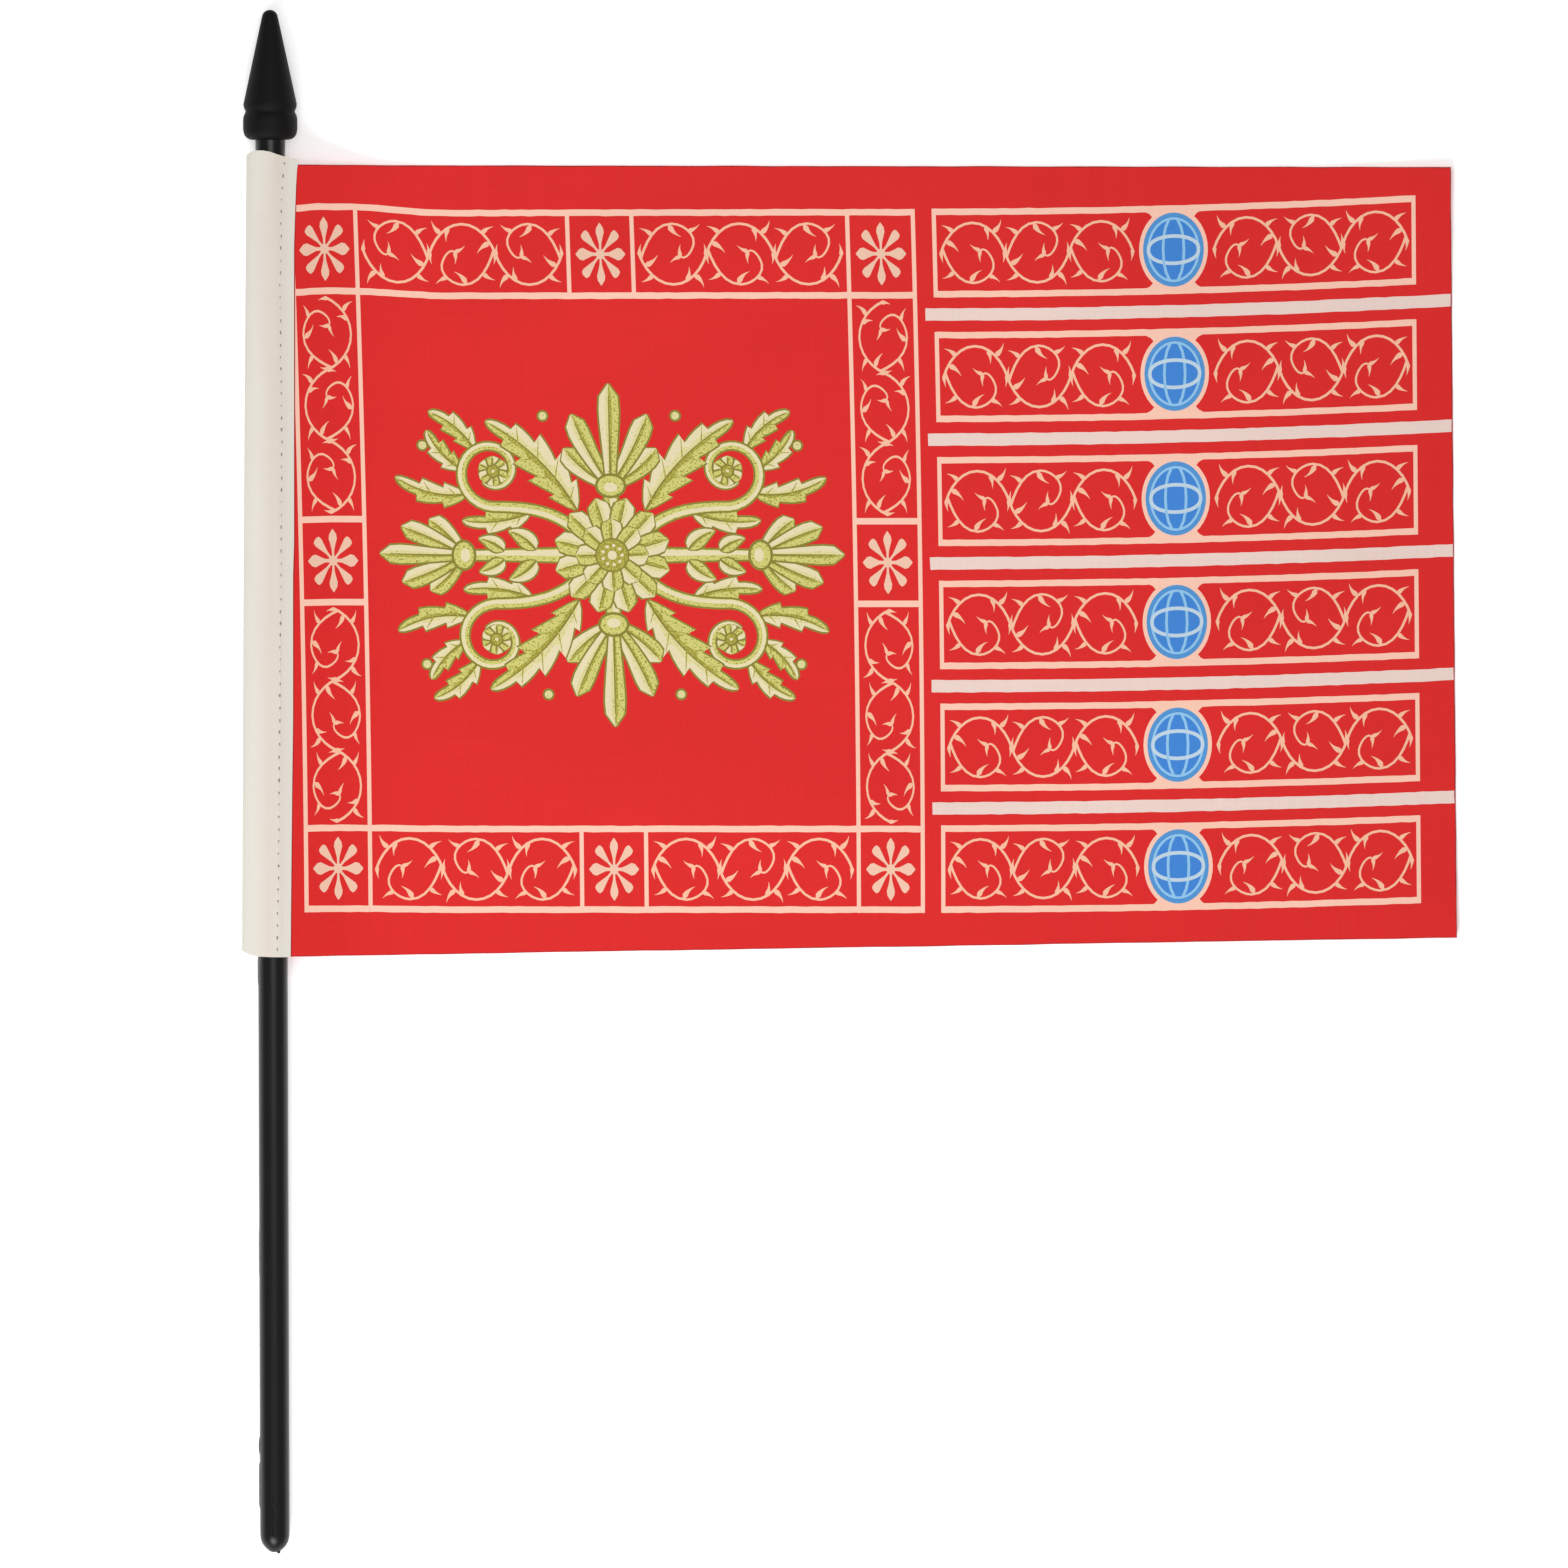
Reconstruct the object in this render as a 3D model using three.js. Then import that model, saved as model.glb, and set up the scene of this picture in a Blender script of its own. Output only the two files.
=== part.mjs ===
// A small table flag lying face up on a flat surface: a printed cloth sewn to a tape that is
// folded round a moulded stick with a spear tip. Millimetres, +Z up.
//
// Everything is first placed from the stick: x runs from the stick's axis towards the cloth's
// free end, "down" runs along the stick from the point of the spear to the foot (y = -down), and
// z is the height over the surface. The last lines move the origin to the bottom centre.
import * as THREE from "three";

// The stick is one moulding
const stickLength = 293;
const rodRadius = 2.75;
const stickSides = 32;
const noseRadius = 1.5;
const noseSteps = 6;
const coneBase = { down: 17.4, radius: 4.95 };
const collarRadius = 5.14;
const collarShoulder = 22.6;

// The edge of the cone, the groove, the collar and the neck under it
const neckProfile = [
  { down: 17.8, radius: 5.05 },
  { down: 18.2, radius: 5.02 },
  { down: 18.7, radius: 4.83 },
  { down: 19.1, radius: 4.63 },
  { down: 19.5, radius: 4.63 },
  { down: 19.9, radius: 4.83 },
  { down: 20.4, radius: 5.05 },
  { down: 21.0, radius: collarRadius },
  { down: collarShoulder, radius: collarRadius },
  { down: 23.2, radius: 5.07 },
  { down: 23.8, radius: 4.88 },
  { down: 24.3, radius: 4.48 },
  { down: 24.6, radius: 3.95 },
  { down: 24.7, radius: 3.33 },
  { down: 25.1, radius: 3.27 },
  { down: 25.3, radius: 2.9 },
  { down: 26.4, radius: 2.82 },
  { down: 27.2, radius: rodRadius },
];

// The rounded foot, in distances back from its end, which is a small flat gate mark
const footProfile = [
  { back: 3.3, radius: rodRadius },
  { back: 2.6, radius: 2.68 },
  { back: 1.9, radius: 2.47 },
  { back: 1.3, radius: 2.13 },
  { back: 0.7, radius: 1.6 },
  { back: 0.25, radius: 1.05 },
  { back: 0, radius: 0.6 },
];

// Both cloths are sheets of this thickness, and pieces clear each other by the gap
const sheet = 1;
const gap = 0.3;

// The tape is a tube round the rod, roomy on the side away from the cloth, with a flap over the
// cloth's edge. Skew is how far a cut end drops for each millimetre of x, foldAt and flapAt are
// where the fold and the flap's edge lie.
const tapeTop = { down: 27.4, skew: 0.13, foldAt: -4.55, flapAt: 5.2 };
const tapeFoot = { down: 179.8, skew: 0.03, foldAt: -5.89, flapAt: 4.6 };
const tapeStations = 18;
const rodClearance = 0.35;
const ringStep = 15;

// The flap starts this far from the top of the rod, and meets the tube again at joinAngle
const seamAngle = 25;
const joinAngle = 23;

// The cut cloth: where its top and foot edges start and end, and how far its free end reaches
const clothTop = { hoistDown: 29.4, flyDown: 30.5, flyAt: 224.3 };
const clothFoot = { hoistDown: 179.9, flyDown: 177.0, flyAt: 225.0 };
const slopeShare = 0.155;
const slopeColumns = 14;
const flatColumns = 26;
const clothRows = 22;

// Low swellings where the cloth doesn't lie quite flat: centre, half sizes, turn and height
const swellings = [
  { x: 66, down: 52, long: 62, wide: 17, turn: -16, height: 0.9 },
  { x: 92, down: 150, long: 70, wide: 20, turn: 12, height: 0.8 },
  { x: 168, down: 62, long: 46, wide: 24, turn: 38, height: 0.7 },
  { x: 176, down: 128, long: 52, wide: 19, turn: -28, height: 0.9 },
  { x: 232, down: 24, long: 42, wide: 30, turn: -45, height: 1.4 },
  { x: 233, down: 184, long: 38, wide: 26, turn: 40, height: 1.1 },
];

const radians = THREE.MathUtils.degToRad;
const mix = THREE.MathUtils.lerp;

// The stick lies on its collar and, with the tape between, on the foot of the sleeve. It leans by
// the difference, so the height of its axis falls from the collar towards the foot.
const seatedHeight = rodRadius + rodClearance + sheet;
const stickFall = (collarRadius - seatedHeight) / (tapeFoot.down - collarShoulder);

function axisHeight(down) {
  return collarRadius - (down - collarShoulder) * stickFall;
}

// Height of the middle of the cloth. It leaves the seam on top of the rod and comes down to the
// surface in the curve of a sheet that is held up by one edge.
function clothMiddle(x, down) {
  const wrap = rodRadius + rodClearance + sheet / 2;
  const seamX = wrap * Math.sin(radians(seamAngle));
  const rise = axisHeight(down) + wrap * Math.cos(radians(seamAngle)) - sheet / 2;
  const reach = (2 * rise) / Math.tan(radians(seamAngle));
  const left = THREE.MathUtils.clamp(1 - (x - seamX) / reach, 0, 1);
  return sheet / 2 + rise * (2 * left ** 3 - left ** 4);
}

function swellingHeight(x, down) {
  let height = 0;
  for (const row of swellings) {
    const cosine = Math.cos(radians(row.turn));
    const sine = Math.sin(radians(row.turn));
    const along = ((x - row.x) * cosine + (down - row.down) * sine) / row.long;
    const across = ((down - row.down) * cosine - (x - row.x) * sine) / row.wide;
    height += row.height * Math.max(0, 1 - along ** 2 - across ** 2) ** 2;
  }
  return height;
}

// A point on a face of the cloth: side is 1 for the printed face and -1 for the back
function sheetPoint(x, down, side) {
  const step = 0.05;
  const height = (at) => clothMiddle(at, down) + swellingHeight(at, down);
  const slope = (height(x + step) - height(x - step)) / (2 * step);
  const offset = (side * sheet) / 2 / Math.hypot(1, slope);
  return new THREE.Vector3(x - slope * offset, -down, height(x) + offset);
}

function solid(points, faces) {
  const geometry = new THREE.BufferGeometry().setFromPoints(points);
  geometry.setIndex(faces);
  geometry.computeVertexNormals();
  return geometry;
}

function stickGeometry() {
  const coneAngle = Math.atan2(coneBase.radius - noseRadius, coneBase.down - noseRadius);
  const profile = [new THREE.Vector2(0, 0)];
  for (let step = 1; step <= noseSteps; step += 1) {
    const angle = mix(Math.PI / 2, coneAngle, step / noseSteps);
    const radius = noseRadius * Math.cos(angle);
    profile.push(new THREE.Vector2(radius, noseRadius * (Math.sin(angle) - 1)));
  }
  for (const { down, radius } of [coneBase, ...neckProfile]) {
    profile.push(new THREE.Vector2(radius, -down));
  }
  for (const { back, radius } of footProfile) {
    profile.push(new THREE.Vector2(radius, back - stickLength));
  }
  profile.push(new THREE.Vector2(0, -stickLength));
  return new THREE.LatheGeometry(profile.reverse(), stickSides);
}

// The closed curve of one face of the tape's tube, counter-clockwise from the first angle. The
// half step before the first corner leaves a flat at the bottom and at the fold.
function tubePoints(first, last, size) {
  const points = [];
  for (let degrees = first; degrees <= last; degrees += ringStep) {
    const angle = radians(degrees);
    const reach = Math.cos(angle) < 0 ? size.left : size.right;
    const rise = Math.sin(angle) < 0 ? size.below : size.above;
    points.push(new THREE.Vector2(reach * Math.cos(angle), size.height + rise * Math.sin(angle)));
  }
  return points;
}

// The tape's section at a share of its length: the outline with its flap, and the hollow
function tapeSection(share) {
  const down = mix(tapeTop.down, tapeFoot.down, share);
  const skew = mix(tapeTop.skew, tapeFoot.skew, share);
  const foldAt = mix(tapeTop.foldAt, tapeFoot.foldAt, share);
  const flapAt = mix(tapeTop.flapAt, tapeFoot.flapAt, share);
  const height = axisHeight(down);
  const halfStep = ringStep / 2;
  const flatten = Math.cos(radians(halfStep));
  const inner = rodRadius + rodClearance;
  const outer = inner + sheet;
  const outside = { left: -foldAt / flatten, right: outer, above: outer, below: height / flatten };
  const inside = {
    left: (-foldAt - sheet) / flatten,
    right: inner,
    above: inner,
    below: (height - sheet) / flatten,
  };
  outside.height = height;
  inside.height = height;
  const flapMiddle = mix(flapAt, outer, 0.5);
  const flap = (x, side) => {
    const point = sheetPoint(x, down, side);
    return new THREE.Vector2(point.x, point.z);
  };
  const outline = [
    flap(flapAt, -1),
    flap(flapAt, 1),
    flap(flapMiddle, 1),
    ...tubePoints(90 - seamAngle, 90 - seamAngle, outside),
    ...tubePoints(90 - halfStep, 360 + halfStep, outside),
    ...tubePoints(360 + joinAngle, 360 + joinAngle, outside),
    flap(flapMiddle, -1),
  ];
  const hollow = tubePoints(halfStep, 360 - halfStep, inside);
  const place = (point) => new THREE.Vector3(point.x, -down - skew * point.x, point.y);
  return { outline, hollow, points: [...outline, ...hollow].map(place) };
}

function tapeGeometry() {
  const sections = [];
  for (let station = 0; station <= tapeStations; station += 1) {
    sections.push(tapeSection(station / tapeStations));
  }
  const outlineSize = sections[0].outline.length;
  const size = sections[0].points.length;
  const faces = [];
  const wall = (from, to, turn) => {
    const count = to - from;
    for (let station = 0; station < tapeStations; station += 1) {
      for (let corner = 0; corner < count; corner += 1) {
        const here = station * size + from + corner;
        const next = station * size + from + ((corner + 1) % count);
        const quad = [here, next, next + size, here + size];
        const [a, b, c, d] = turn > 0 ? quad : quad.reverse();
        faces.push(a, b, c, a, c, d);
      }
    }
  };
  wall(0, outlineSize, 1);
  wall(outlineSize, size, -1);
  const cap = (section, start, turn) => {
    const triangles = THREE.ShapeUtils.triangulateShape(section.outline, [section.hollow]);
    for (const [a, b, c] of triangles) {
      faces.push(...(turn > 0 ? [start + a, start + b, start + c] : [start + a, start + c, start + b]));
    }
  };
  cap(sections[0], 0, -1);
  cap(sections[tapeStations], tapeStations * size, 1);
  return solid(sections.flatMap((section) => section.points), faces);
}

// The flap's edge at a distance down the stick, which the cloth's hoist edge follows
function flapEdge(down) {
  const share = (down - tapeTop.down) / (tapeFoot.down - tapeTop.down);
  return mix(tapeTop.flapAt, tapeFoot.flapAt, share);
}

// How far along the cloth a column stands: close together on the slope, wider on the flat
function columnShare(column) {
  if (column <= slopeColumns) {
    return (slopeShare * column) / slopeColumns;
  }
  return slopeShare + ((1 - slopeShare) * (column - slopeColumns)) / flatColumns;
}

function clothGeometry() {
  const columns = slopeColumns + flatColumns;
  const points = [];
  for (const side of [1, -1]) {
    for (let row = 0; row <= clothRows; row += 1) {
      for (let column = 0; column <= columns; column += 1) {
        const along = columnShare(column);
        const share = row / clothRows;
        const top = mix(clothTop.hoistDown, clothTop.flyDown, along);
        const foot = mix(clothFoot.hoistDown, clothFoot.flyDown, along);
        const down = mix(top, foot, share);
        const hoistAt = flapEdge(down) + gap;
        const flyAt = mix(clothTop.flyAt, clothFoot.flyAt, share);
        points.push(sheetPoint(mix(hoistAt, flyAt, along), down, side));
      }
    }
  }
  const width = columns + 1;
  const back = width * (clothRows + 1);
  const faces = [];
  for (let row = 0; row < clothRows; row += 1) {
    for (let column = 0; column < columns; column += 1) {
      const a = row * width + column;
      const [b, c, d] = [a + width, a + width + 1, a + 1];
      faces.push(a, b, c, a, c, d);
      faces.push(back + a, back + c, back + b, back + a, back + d, back + c);
    }
  }
  const rim = [];
  for (let column = 0; column < columns; column += 1) rim.push(column);
  for (let row = 0; row < clothRows; row += 1) rim.push(row * width + columns);
  for (let column = columns; column > 0; column -= 1) rim.push(clothRows * width + column);
  for (let row = clothRows; row > 0; row -= 1) rim.push(row * width);
  for (let corner = 0; corner < rim.length; corner += 1) {
    const a = rim[corner];
    const b = rim[(corner + 1) % rim.length];
    faces.push(a, b, back + b, a, back + b, back + a);
  }
  return solid(points, faces);
}

function piece(name, geometry, color, roughness) {
  const material = new THREE.MeshStandardMaterial({ color, roughness, metalness: 0 });
  const mesh = new THREE.Mesh(geometry, material);
  mesh.name = name;
  return mesh;
}

const stick = piece("stick", stickGeometry(), 0x1c1c1b, 0.42);
stick.position.z = axisHeight(0);
stick.rotation.x = Math.atan(stickFall);

const laid = new THREE.Group();
laid.add(
  stick,
  piece("sleeve_tape", tapeGeometry(), 0xe4dcd0, 0.85),
  piece("cloth_panel", clothGeometry(), 0xd83a34, 0.7),
);

// The origin is the bottom centre of the whole flag
const middle = new THREE.Box3().setFromObject(laid, true).getCenter(new THREE.Vector3());
laid.position.set(-middle.x, -middle.y, 0);

const flag = new THREE.Group();
flag.add(laid);

export default flag;
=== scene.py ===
"""A small table flag lying face up on a pale floor, seen from straight above.

Sizes are in millimetres, given from the stick: x runs from the stick's axis towards the cloth's
free end, down runs from the point of the spear towards the stick's foot, and heights are over
the floor. place() turns them into the frame's metres.
"""
import math
import random

import bpy
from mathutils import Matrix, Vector, noise
from mathutils.geometry import delaunay_2d_cdt


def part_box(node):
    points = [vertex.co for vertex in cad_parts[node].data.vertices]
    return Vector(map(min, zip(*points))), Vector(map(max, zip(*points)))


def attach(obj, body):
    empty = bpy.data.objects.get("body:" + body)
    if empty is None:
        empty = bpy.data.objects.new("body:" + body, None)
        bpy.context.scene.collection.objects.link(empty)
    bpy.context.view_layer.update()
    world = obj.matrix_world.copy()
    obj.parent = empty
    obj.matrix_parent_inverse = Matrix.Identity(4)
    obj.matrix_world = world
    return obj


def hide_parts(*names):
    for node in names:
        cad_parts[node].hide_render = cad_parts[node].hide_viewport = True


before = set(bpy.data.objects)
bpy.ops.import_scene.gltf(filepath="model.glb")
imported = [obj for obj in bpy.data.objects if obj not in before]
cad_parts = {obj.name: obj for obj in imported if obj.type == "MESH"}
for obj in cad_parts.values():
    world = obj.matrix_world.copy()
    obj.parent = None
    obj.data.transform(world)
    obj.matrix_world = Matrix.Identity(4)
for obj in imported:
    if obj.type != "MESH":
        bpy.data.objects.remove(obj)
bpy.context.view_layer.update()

MM = 0.001

STICK_LOW, STICK_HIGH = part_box("stick")
AXIS_X = (STICK_LOW.x + STICK_HIGH.x) / 2
TIP_Y = STICK_HIGH.y

# The stick
STICK_LENGTH = 293
ROD_RADIUS = 2.75
NOSE_RADIUS = 1.5
CONE_BASE = (17.4, 4.95)
COLLAR_RADIUS = 5.14
COLLAR_SHOULDER = 22.6
COLLAR_FOOT = 24.7

# The CAD sheets' thickness and how they lie on the stick
SHEET = 1
ROD_CLEARANCE = 0.35
SEAM_ANGLE = math.radians(25)

# The tape's two ends: down, and the x of its fold
TAPE_TOP = {"down": 27.4, "fold": -4.55}
TAPE_FOOT = {"down": 179.8, "fold": -5.89}

# The cut cloth: down at the hoist and at the fly end, and the fly end's x
CLOTH_TOP = {"hoist": 29.4, "fly": 30.5, "fly_x": 224.3}
CLOTH_FOOT = {"hoist": 179.9, "fly": 177.0, "fly_x": 225.0}
CLOTH_HOIST_X = 1.1
CLOTH_THICK = 0.28

# Low swellings of the cloth: x, down, half length, half width, turn in degrees and height
SWELLINGS = (
    (66, 52, 62, 17, -16, 0.9),
    (92, 150, 70, 20, 12, 0.8),
    (168, 62, 46, 24, 38, 0.7),
    (176, 128, 52, 19, -28, 0.9),
    (232, 24, 42, 30, -45, 1.4),
    (233, 184, 38, 26, 40, 1.1),
)

# The thin cloth settles from the seam to the floor between two x, and ripples a little there
SETTLING = (4, 20)
SEAM_LIFT = -0.05
RIPPLE_HEIGHT = 0.1
RIPPLE_LENGTHS = (26, 19)
RIPPLE_SEED = 3.1

WRAP_RADIUS = ROD_RADIUS + ROD_CLEARANCE + SHEET / 2
SEATED_HEIGHT = ROD_RADIUS + ROD_CLEARANCE + SHEET
STICK_FALL = (COLLAR_RADIUS - SEATED_HEIGHT) / (TAPE_FOOT["down"] - COLLAR_SHOULDER)


def mix(a, b, share):
    return a + (b - a) * share


def smooth(value, low, high):
    """0 below low, 1 above high and a soft step between."""
    share = min(max((value - low) / (high - low), 0), 1)
    return share * share * (3 - 2 * share)


def heading(degrees):
    """The cosine and sine of an angle."""
    angle = math.radians(degrees)
    return math.cos(angle), math.sin(angle)


def place(x, down, height):
    return Vector((AXIS_X + x * MM, TIP_Y - down * MM, height * MM))


def axis_height(down):
    return COLLAR_RADIUS - (down - COLLAR_SHOULDER) * STICK_FALL


def cloth_middle(x, down):
    """Height of the CAD cloth's middle: held up at the seam, then down to the floor."""
    rise = axis_height(down) + WRAP_RADIUS * math.cos(SEAM_ANGLE) - SHEET / 2
    reach = 2 * rise / math.tan(SEAM_ANGLE)
    left = min(max(1 - (x - WRAP_RADIUS * math.sin(SEAM_ANGLE)) / reach, 0), 1)
    return SHEET / 2 + rise * (2 * left**3 - left**4)


def swelling_height(x, down):
    height = 0
    for middle_x, middle_down, half_length, half_width, turn, top in SWELLINGS:
        cosine, sine = heading(turn)
        along = ((x - middle_x) * cosine + (down - middle_down) * sine) / half_length
        across = ((down - middle_down) * cosine - (x - middle_x) * sine) / half_width
        height += top * max(0, 1 - along**2 - across**2) ** 2
    return height


def cloth_height(x, down):
    """Height of the thin cloth's middle: under the flap at the seam, on the floor further out."""
    settled = smooth(x, *SETTLING)
    lift = mix(SEAM_LIFT, (CLOTH_THICK - SHEET) / 2, settled)
    spot = Vector((x / RIPPLE_LENGTHS[0], down / RIPPLE_LENGTHS[1], RIPPLE_SEED))
    ripple = RIPPLE_HEIGHT * settled * max(0, noise.noise(spot))
    return cloth_middle(x, down) + lift + swelling_height(x, down) + ripple


def new_piece(name, vertices, faces, material):
    mesh = bpy.data.meshes.new(name)
    mesh.from_pydata(vertices, [], faces)
    mesh.update()
    for polygon in mesh.polygons:
        polygon.use_smooth = True
    made = bpy.data.objects.new(name, mesh)
    bpy.context.scene.collection.objects.link(made)
    mesh.materials.append(material)
    return made


# Fabrics: thread pitch and relief in millimetres, how strong their slubs and unevenness are
CLOTH_FABRIC = {"pitch": 0.24, "depth": 0.006, "slub": 0.08, "uneven": 0.05, "roughness": 0.68}
TAPE_FABRIC = {"pitch": 0.3, "depth": 0.008, "slub": 0.04, "uneven": 0.02, "roughness": 0.75}
WARP_STRETCH = (1.6, 0.05, 1)
WEFT_STRETCH = (0.04, 1.3, 1)
CLOUD_SCALE = 0.06
FINE_SCALE = 2.2
# Painted shade in the weave: how much darker its dips and lighter its crests are
WEAVE_SHADE = 0.02
ROUGHNESS_SPAN = 0.12

# Olive dots on the ornament: colour, dots for each millimetre, and how sharply they begin
DOT_COLOUR = (150, 142, 52)
DOT_SCALE = 2.6
DOT_START = 0.72
DOT_SHIFT = 0.5
DOT_SHARPNESS = 9.0
LEAST_STIPPLE = 0.02

# The tape is warmer in a band along it, this far round from the flap's edge
COOL_TAPE = (221, 217, 207)
WARM_TAPE = (217, 206, 196)
WARM_BAND = {"middle": 4.4, "peak": 1.15, "fall": 0.34}
DRIFT_SCALE = 0.12
DRIFT_STRETCH = (1, 0.15, 1)

# Scales of thread and plastic grain are in bumps for each metre
THREAD_FUZZ_SCALE = 4200.0
THREAD_FUZZ_HEIGHT = 0.03
THREAD_SHADE = 0.8
FLOW_SCALE = 90.0
FLOW_STRETCH = (1, 0.12, 1)
FLOW_DEPTH = 0.12
GRIT_SCALE = 2600.0
GRIT_DEPTH = 0.006
PLASTIC_TONES = ((8, 8, 8), (12, 12, 11))


def linear(red, green, blue):
    """A colour of 0 to 255 as the linear values that shaders take."""
    def one(value):
        share = value / 255
        return share / 12.92 if share <= 0.04045 else ((share + 0.055) / 1.055) ** 2.4
    return (one(red), one(green), one(blue), 1)


def node(tree, kind, inputs=None, **settings):
    made = tree.nodes.new(kind)
    for key, value in settings.items():
        setattr(made, key, value)
    for key, value in (inputs or {}).items():
        if isinstance(value, bpy.types.NodeSocket):
            tree.links.new(value, made.inputs[key])
        else:
            made.inputs[key].default_value = value
    return made


def maths(tree, operation, *values):
    return node(tree, "ShaderNodeMath", dict(enumerate(values)), operation=operation).outputs[0]


def blended(tree, factor, a, b, how="MIX"):
    made = node(tree, "ShaderNodeMix", {0: factor, 6: a, 7: b}, data_type="RGBA", blend_type=how)
    return made.outputs[2]


def new_material(name, roughness, sheen=0.0, specular=0.5):
    made = bpy.data.materials.new(name)
    made.use_nodes = True
    shader = made.node_tree.nodes["Principled BSDF"]
    shader.inputs["Roughness"].default_value = roughness
    shader.inputs["Sheen Weight"].default_value = sheen
    shader.inputs["Specular IOR Level"].default_value = specular
    return made, made.node_tree, shader


def noise_at(tree, vector, scale, detail, stretch=(1, 1, 1)):
    """Noise from 0 to 1, scale in bumps for each unit of the vector."""
    mapped = node(tree, "ShaderNodeMapping", {"Vector": vector, "Scale": stretch})
    made = node(
        tree,
        "ShaderNodeTexNoise",
        {"Vector": mapped.outputs[0], "Scale": scale, "Detail": detail},
    )
    return made.outputs[0]


def weave_height(tree, across, along, pitch):
    """Plain weave of a thread pitch: the overs and unders of two crossing waves."""
    wave = math.pi / pitch
    warp = maths(tree, "SINE", maths(tree, "MULTIPLY", across, wave))
    weft = maths(tree, "SINE", maths(tree, "MULTIPLY", along, wave))
    return maths(tree, "MULTIPLY", warp, weft)


def thread_map(tree):
    """The piece's own map, in millimetres across and along its threads."""
    mapped = node(tree, "ShaderNodeUVMap", uv_map="Threads")
    split = node(tree, "ShaderNodeSeparateXYZ", {0: mapped.outputs[0]})
    return mapped.outputs[0], split.outputs[0], split.outputs[1]


def fabric_surface(tree, shader, colour, threads, fabric):
    """Weave, slubs and slight unevenness of tone on a colour, with painted shade that darkens the
    weave's dips and lightens its crests.
    """
    vector, across, along = threads
    weave = weave_height(tree, across, along, fabric["pitch"])
    warp_slub = noise_at(tree, vector, 1.0, 2.0, WARP_STRETCH)
    weft_slub = noise_at(tree, vector, 1.0, 2.0, WEFT_STRETCH)
    cloud = noise_at(tree, vector, CLOUD_SCALE, 4.0)
    fine = noise_at(tree, vector, FINE_SCALE, 2.0)
    slubs = maths(tree, "SUBTRACT", maths(tree, "ADD", warp_slub, weft_slub), 1.0)
    tone = maths(tree, "MULTIPLY", slubs, fabric["slub"])
    for blotches in (cloud, fine):
        blotches = maths(tree, "SUBTRACT", blotches, 0.5)
        tone = maths(tree, "ADD", tone, maths(tree, "MULTIPLY", blotches, fabric["uneven"]))
    # Painted shade: darker where the weave dips, lighter on its crests
    tone = maths(tree, "ADD", tone, maths(tree, "MULTIPLY", weave, WEAVE_SHADE))
    tone = maths(tree, "ADD", tone, 1.0)
    toned = node(tree, "ShaderNodeCombineXYZ", {0: tone, 1: tone, 2: tone})
    shade = blended(tree, 1.0, colour, toned.outputs[0], "MULTIPLY")
    tree.links.new(shade, shader.inputs["Base Color"])
    relief = [maths(tree, "MULTIPLY", part, fabric["depth"]) for part in (weave, slubs)]
    height = maths(tree, "ADD", *relief)
    bump = node(tree, "ShaderNodeBump", {"Height": height, "Distance": MM, "Strength": 1.0})
    tree.links.new(bump.outputs[0], shader.inputs["Normal"])
    span = maths(tree, "MULTIPLY", maths(tree, "SUBTRACT", fine, 0.5), ROUGHNESS_SPAN)
    tree.links.new(maths(tree, "ADD", span, fabric["roughness"]), shader.inputs["Roughness"])


def cloth_material():
    made, tree, shader = new_material("printed_cloth", 0.7, sheen=0.03, specular=0.12)
    threads = thread_map(tree)
    ink = node(tree, "ShaderNodeVertexColor", layer_name="Ink")
    grain = noise_at(tree, threads[0], DOT_SCALE, 1.0)
    start = maths(tree, "SUBTRACT", DOT_START, maths(tree, "MULTIPLY", ink.outputs[1], DOT_SHIFT))
    dots = maths(tree, "MULTIPLY", maths(tree, "SUBTRACT", grain, start), DOT_SHARPNESS)
    dots = node(tree, "ShaderNodeClamp", {0: dots}).outputs[0]
    stippled = maths(tree, "GREATER_THAN", ink.outputs[1], LEAST_STIPPLE)
    dots = maths(tree, "MULTIPLY", dots, stippled)
    printed = blended(tree, dots, ink.outputs[0], linear(*DOT_COLOUR))
    fabric_surface(tree, shader, printed, threads, CLOTH_FABRIC)
    return made


def tape_material():
    made, tree, shader = new_material("cream_tape", 0.75, sheen=0.05, specular=0.15)
    threads = thread_map(tree)
    away = maths(tree, "ABSOLUTE", maths(tree, "SUBTRACT", threads[1], WARM_BAND["middle"]))
    fall = maths(tree, "MULTIPLY", away, WARM_BAND["fall"])
    band = maths(tree, "SUBTRACT", WARM_BAND["peak"], fall)
    drift = noise_at(tree, threads[0], DRIFT_SCALE, 2.0, DRIFT_STRETCH)
    zone = maths(tree, "ADD", band, maths(tree, "SUBTRACT", drift, 0.5))
    zone = node(tree, "ShaderNodeClamp", {0: zone}).outputs[0]
    colour = blended(tree, zone, linear(*COOL_TAPE), linear(*WARM_TAPE))
    fabric_surface(tree, shader, colour, threads, TAPE_FABRIC)
    return made


def plain_thread_material(name, colour, roughness):
    made, tree, shader = new_material(name, roughness, sheen=0.2, specular=0.25)
    where = node(tree, "ShaderNodeTexCoord").outputs["Object"]
    fuzz = noise_at(tree, where, THREAD_FUZZ_SCALE, 2.0)
    low = tuple(THREAD_SHADE * value for value in colour[:3]) + (1,)
    tree.links.new(blended(tree, fuzz, low, colour), shader.inputs["Base Color"])
    relief = {"Height": fuzz, "Distance": THREAD_FUZZ_HEIGHT * MM, "Strength": 1.0}
    bump = node(tree, "ShaderNodeBump", relief)
    tree.links.new(bump.outputs[0], shader.inputs["Normal"])
    return made


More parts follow.
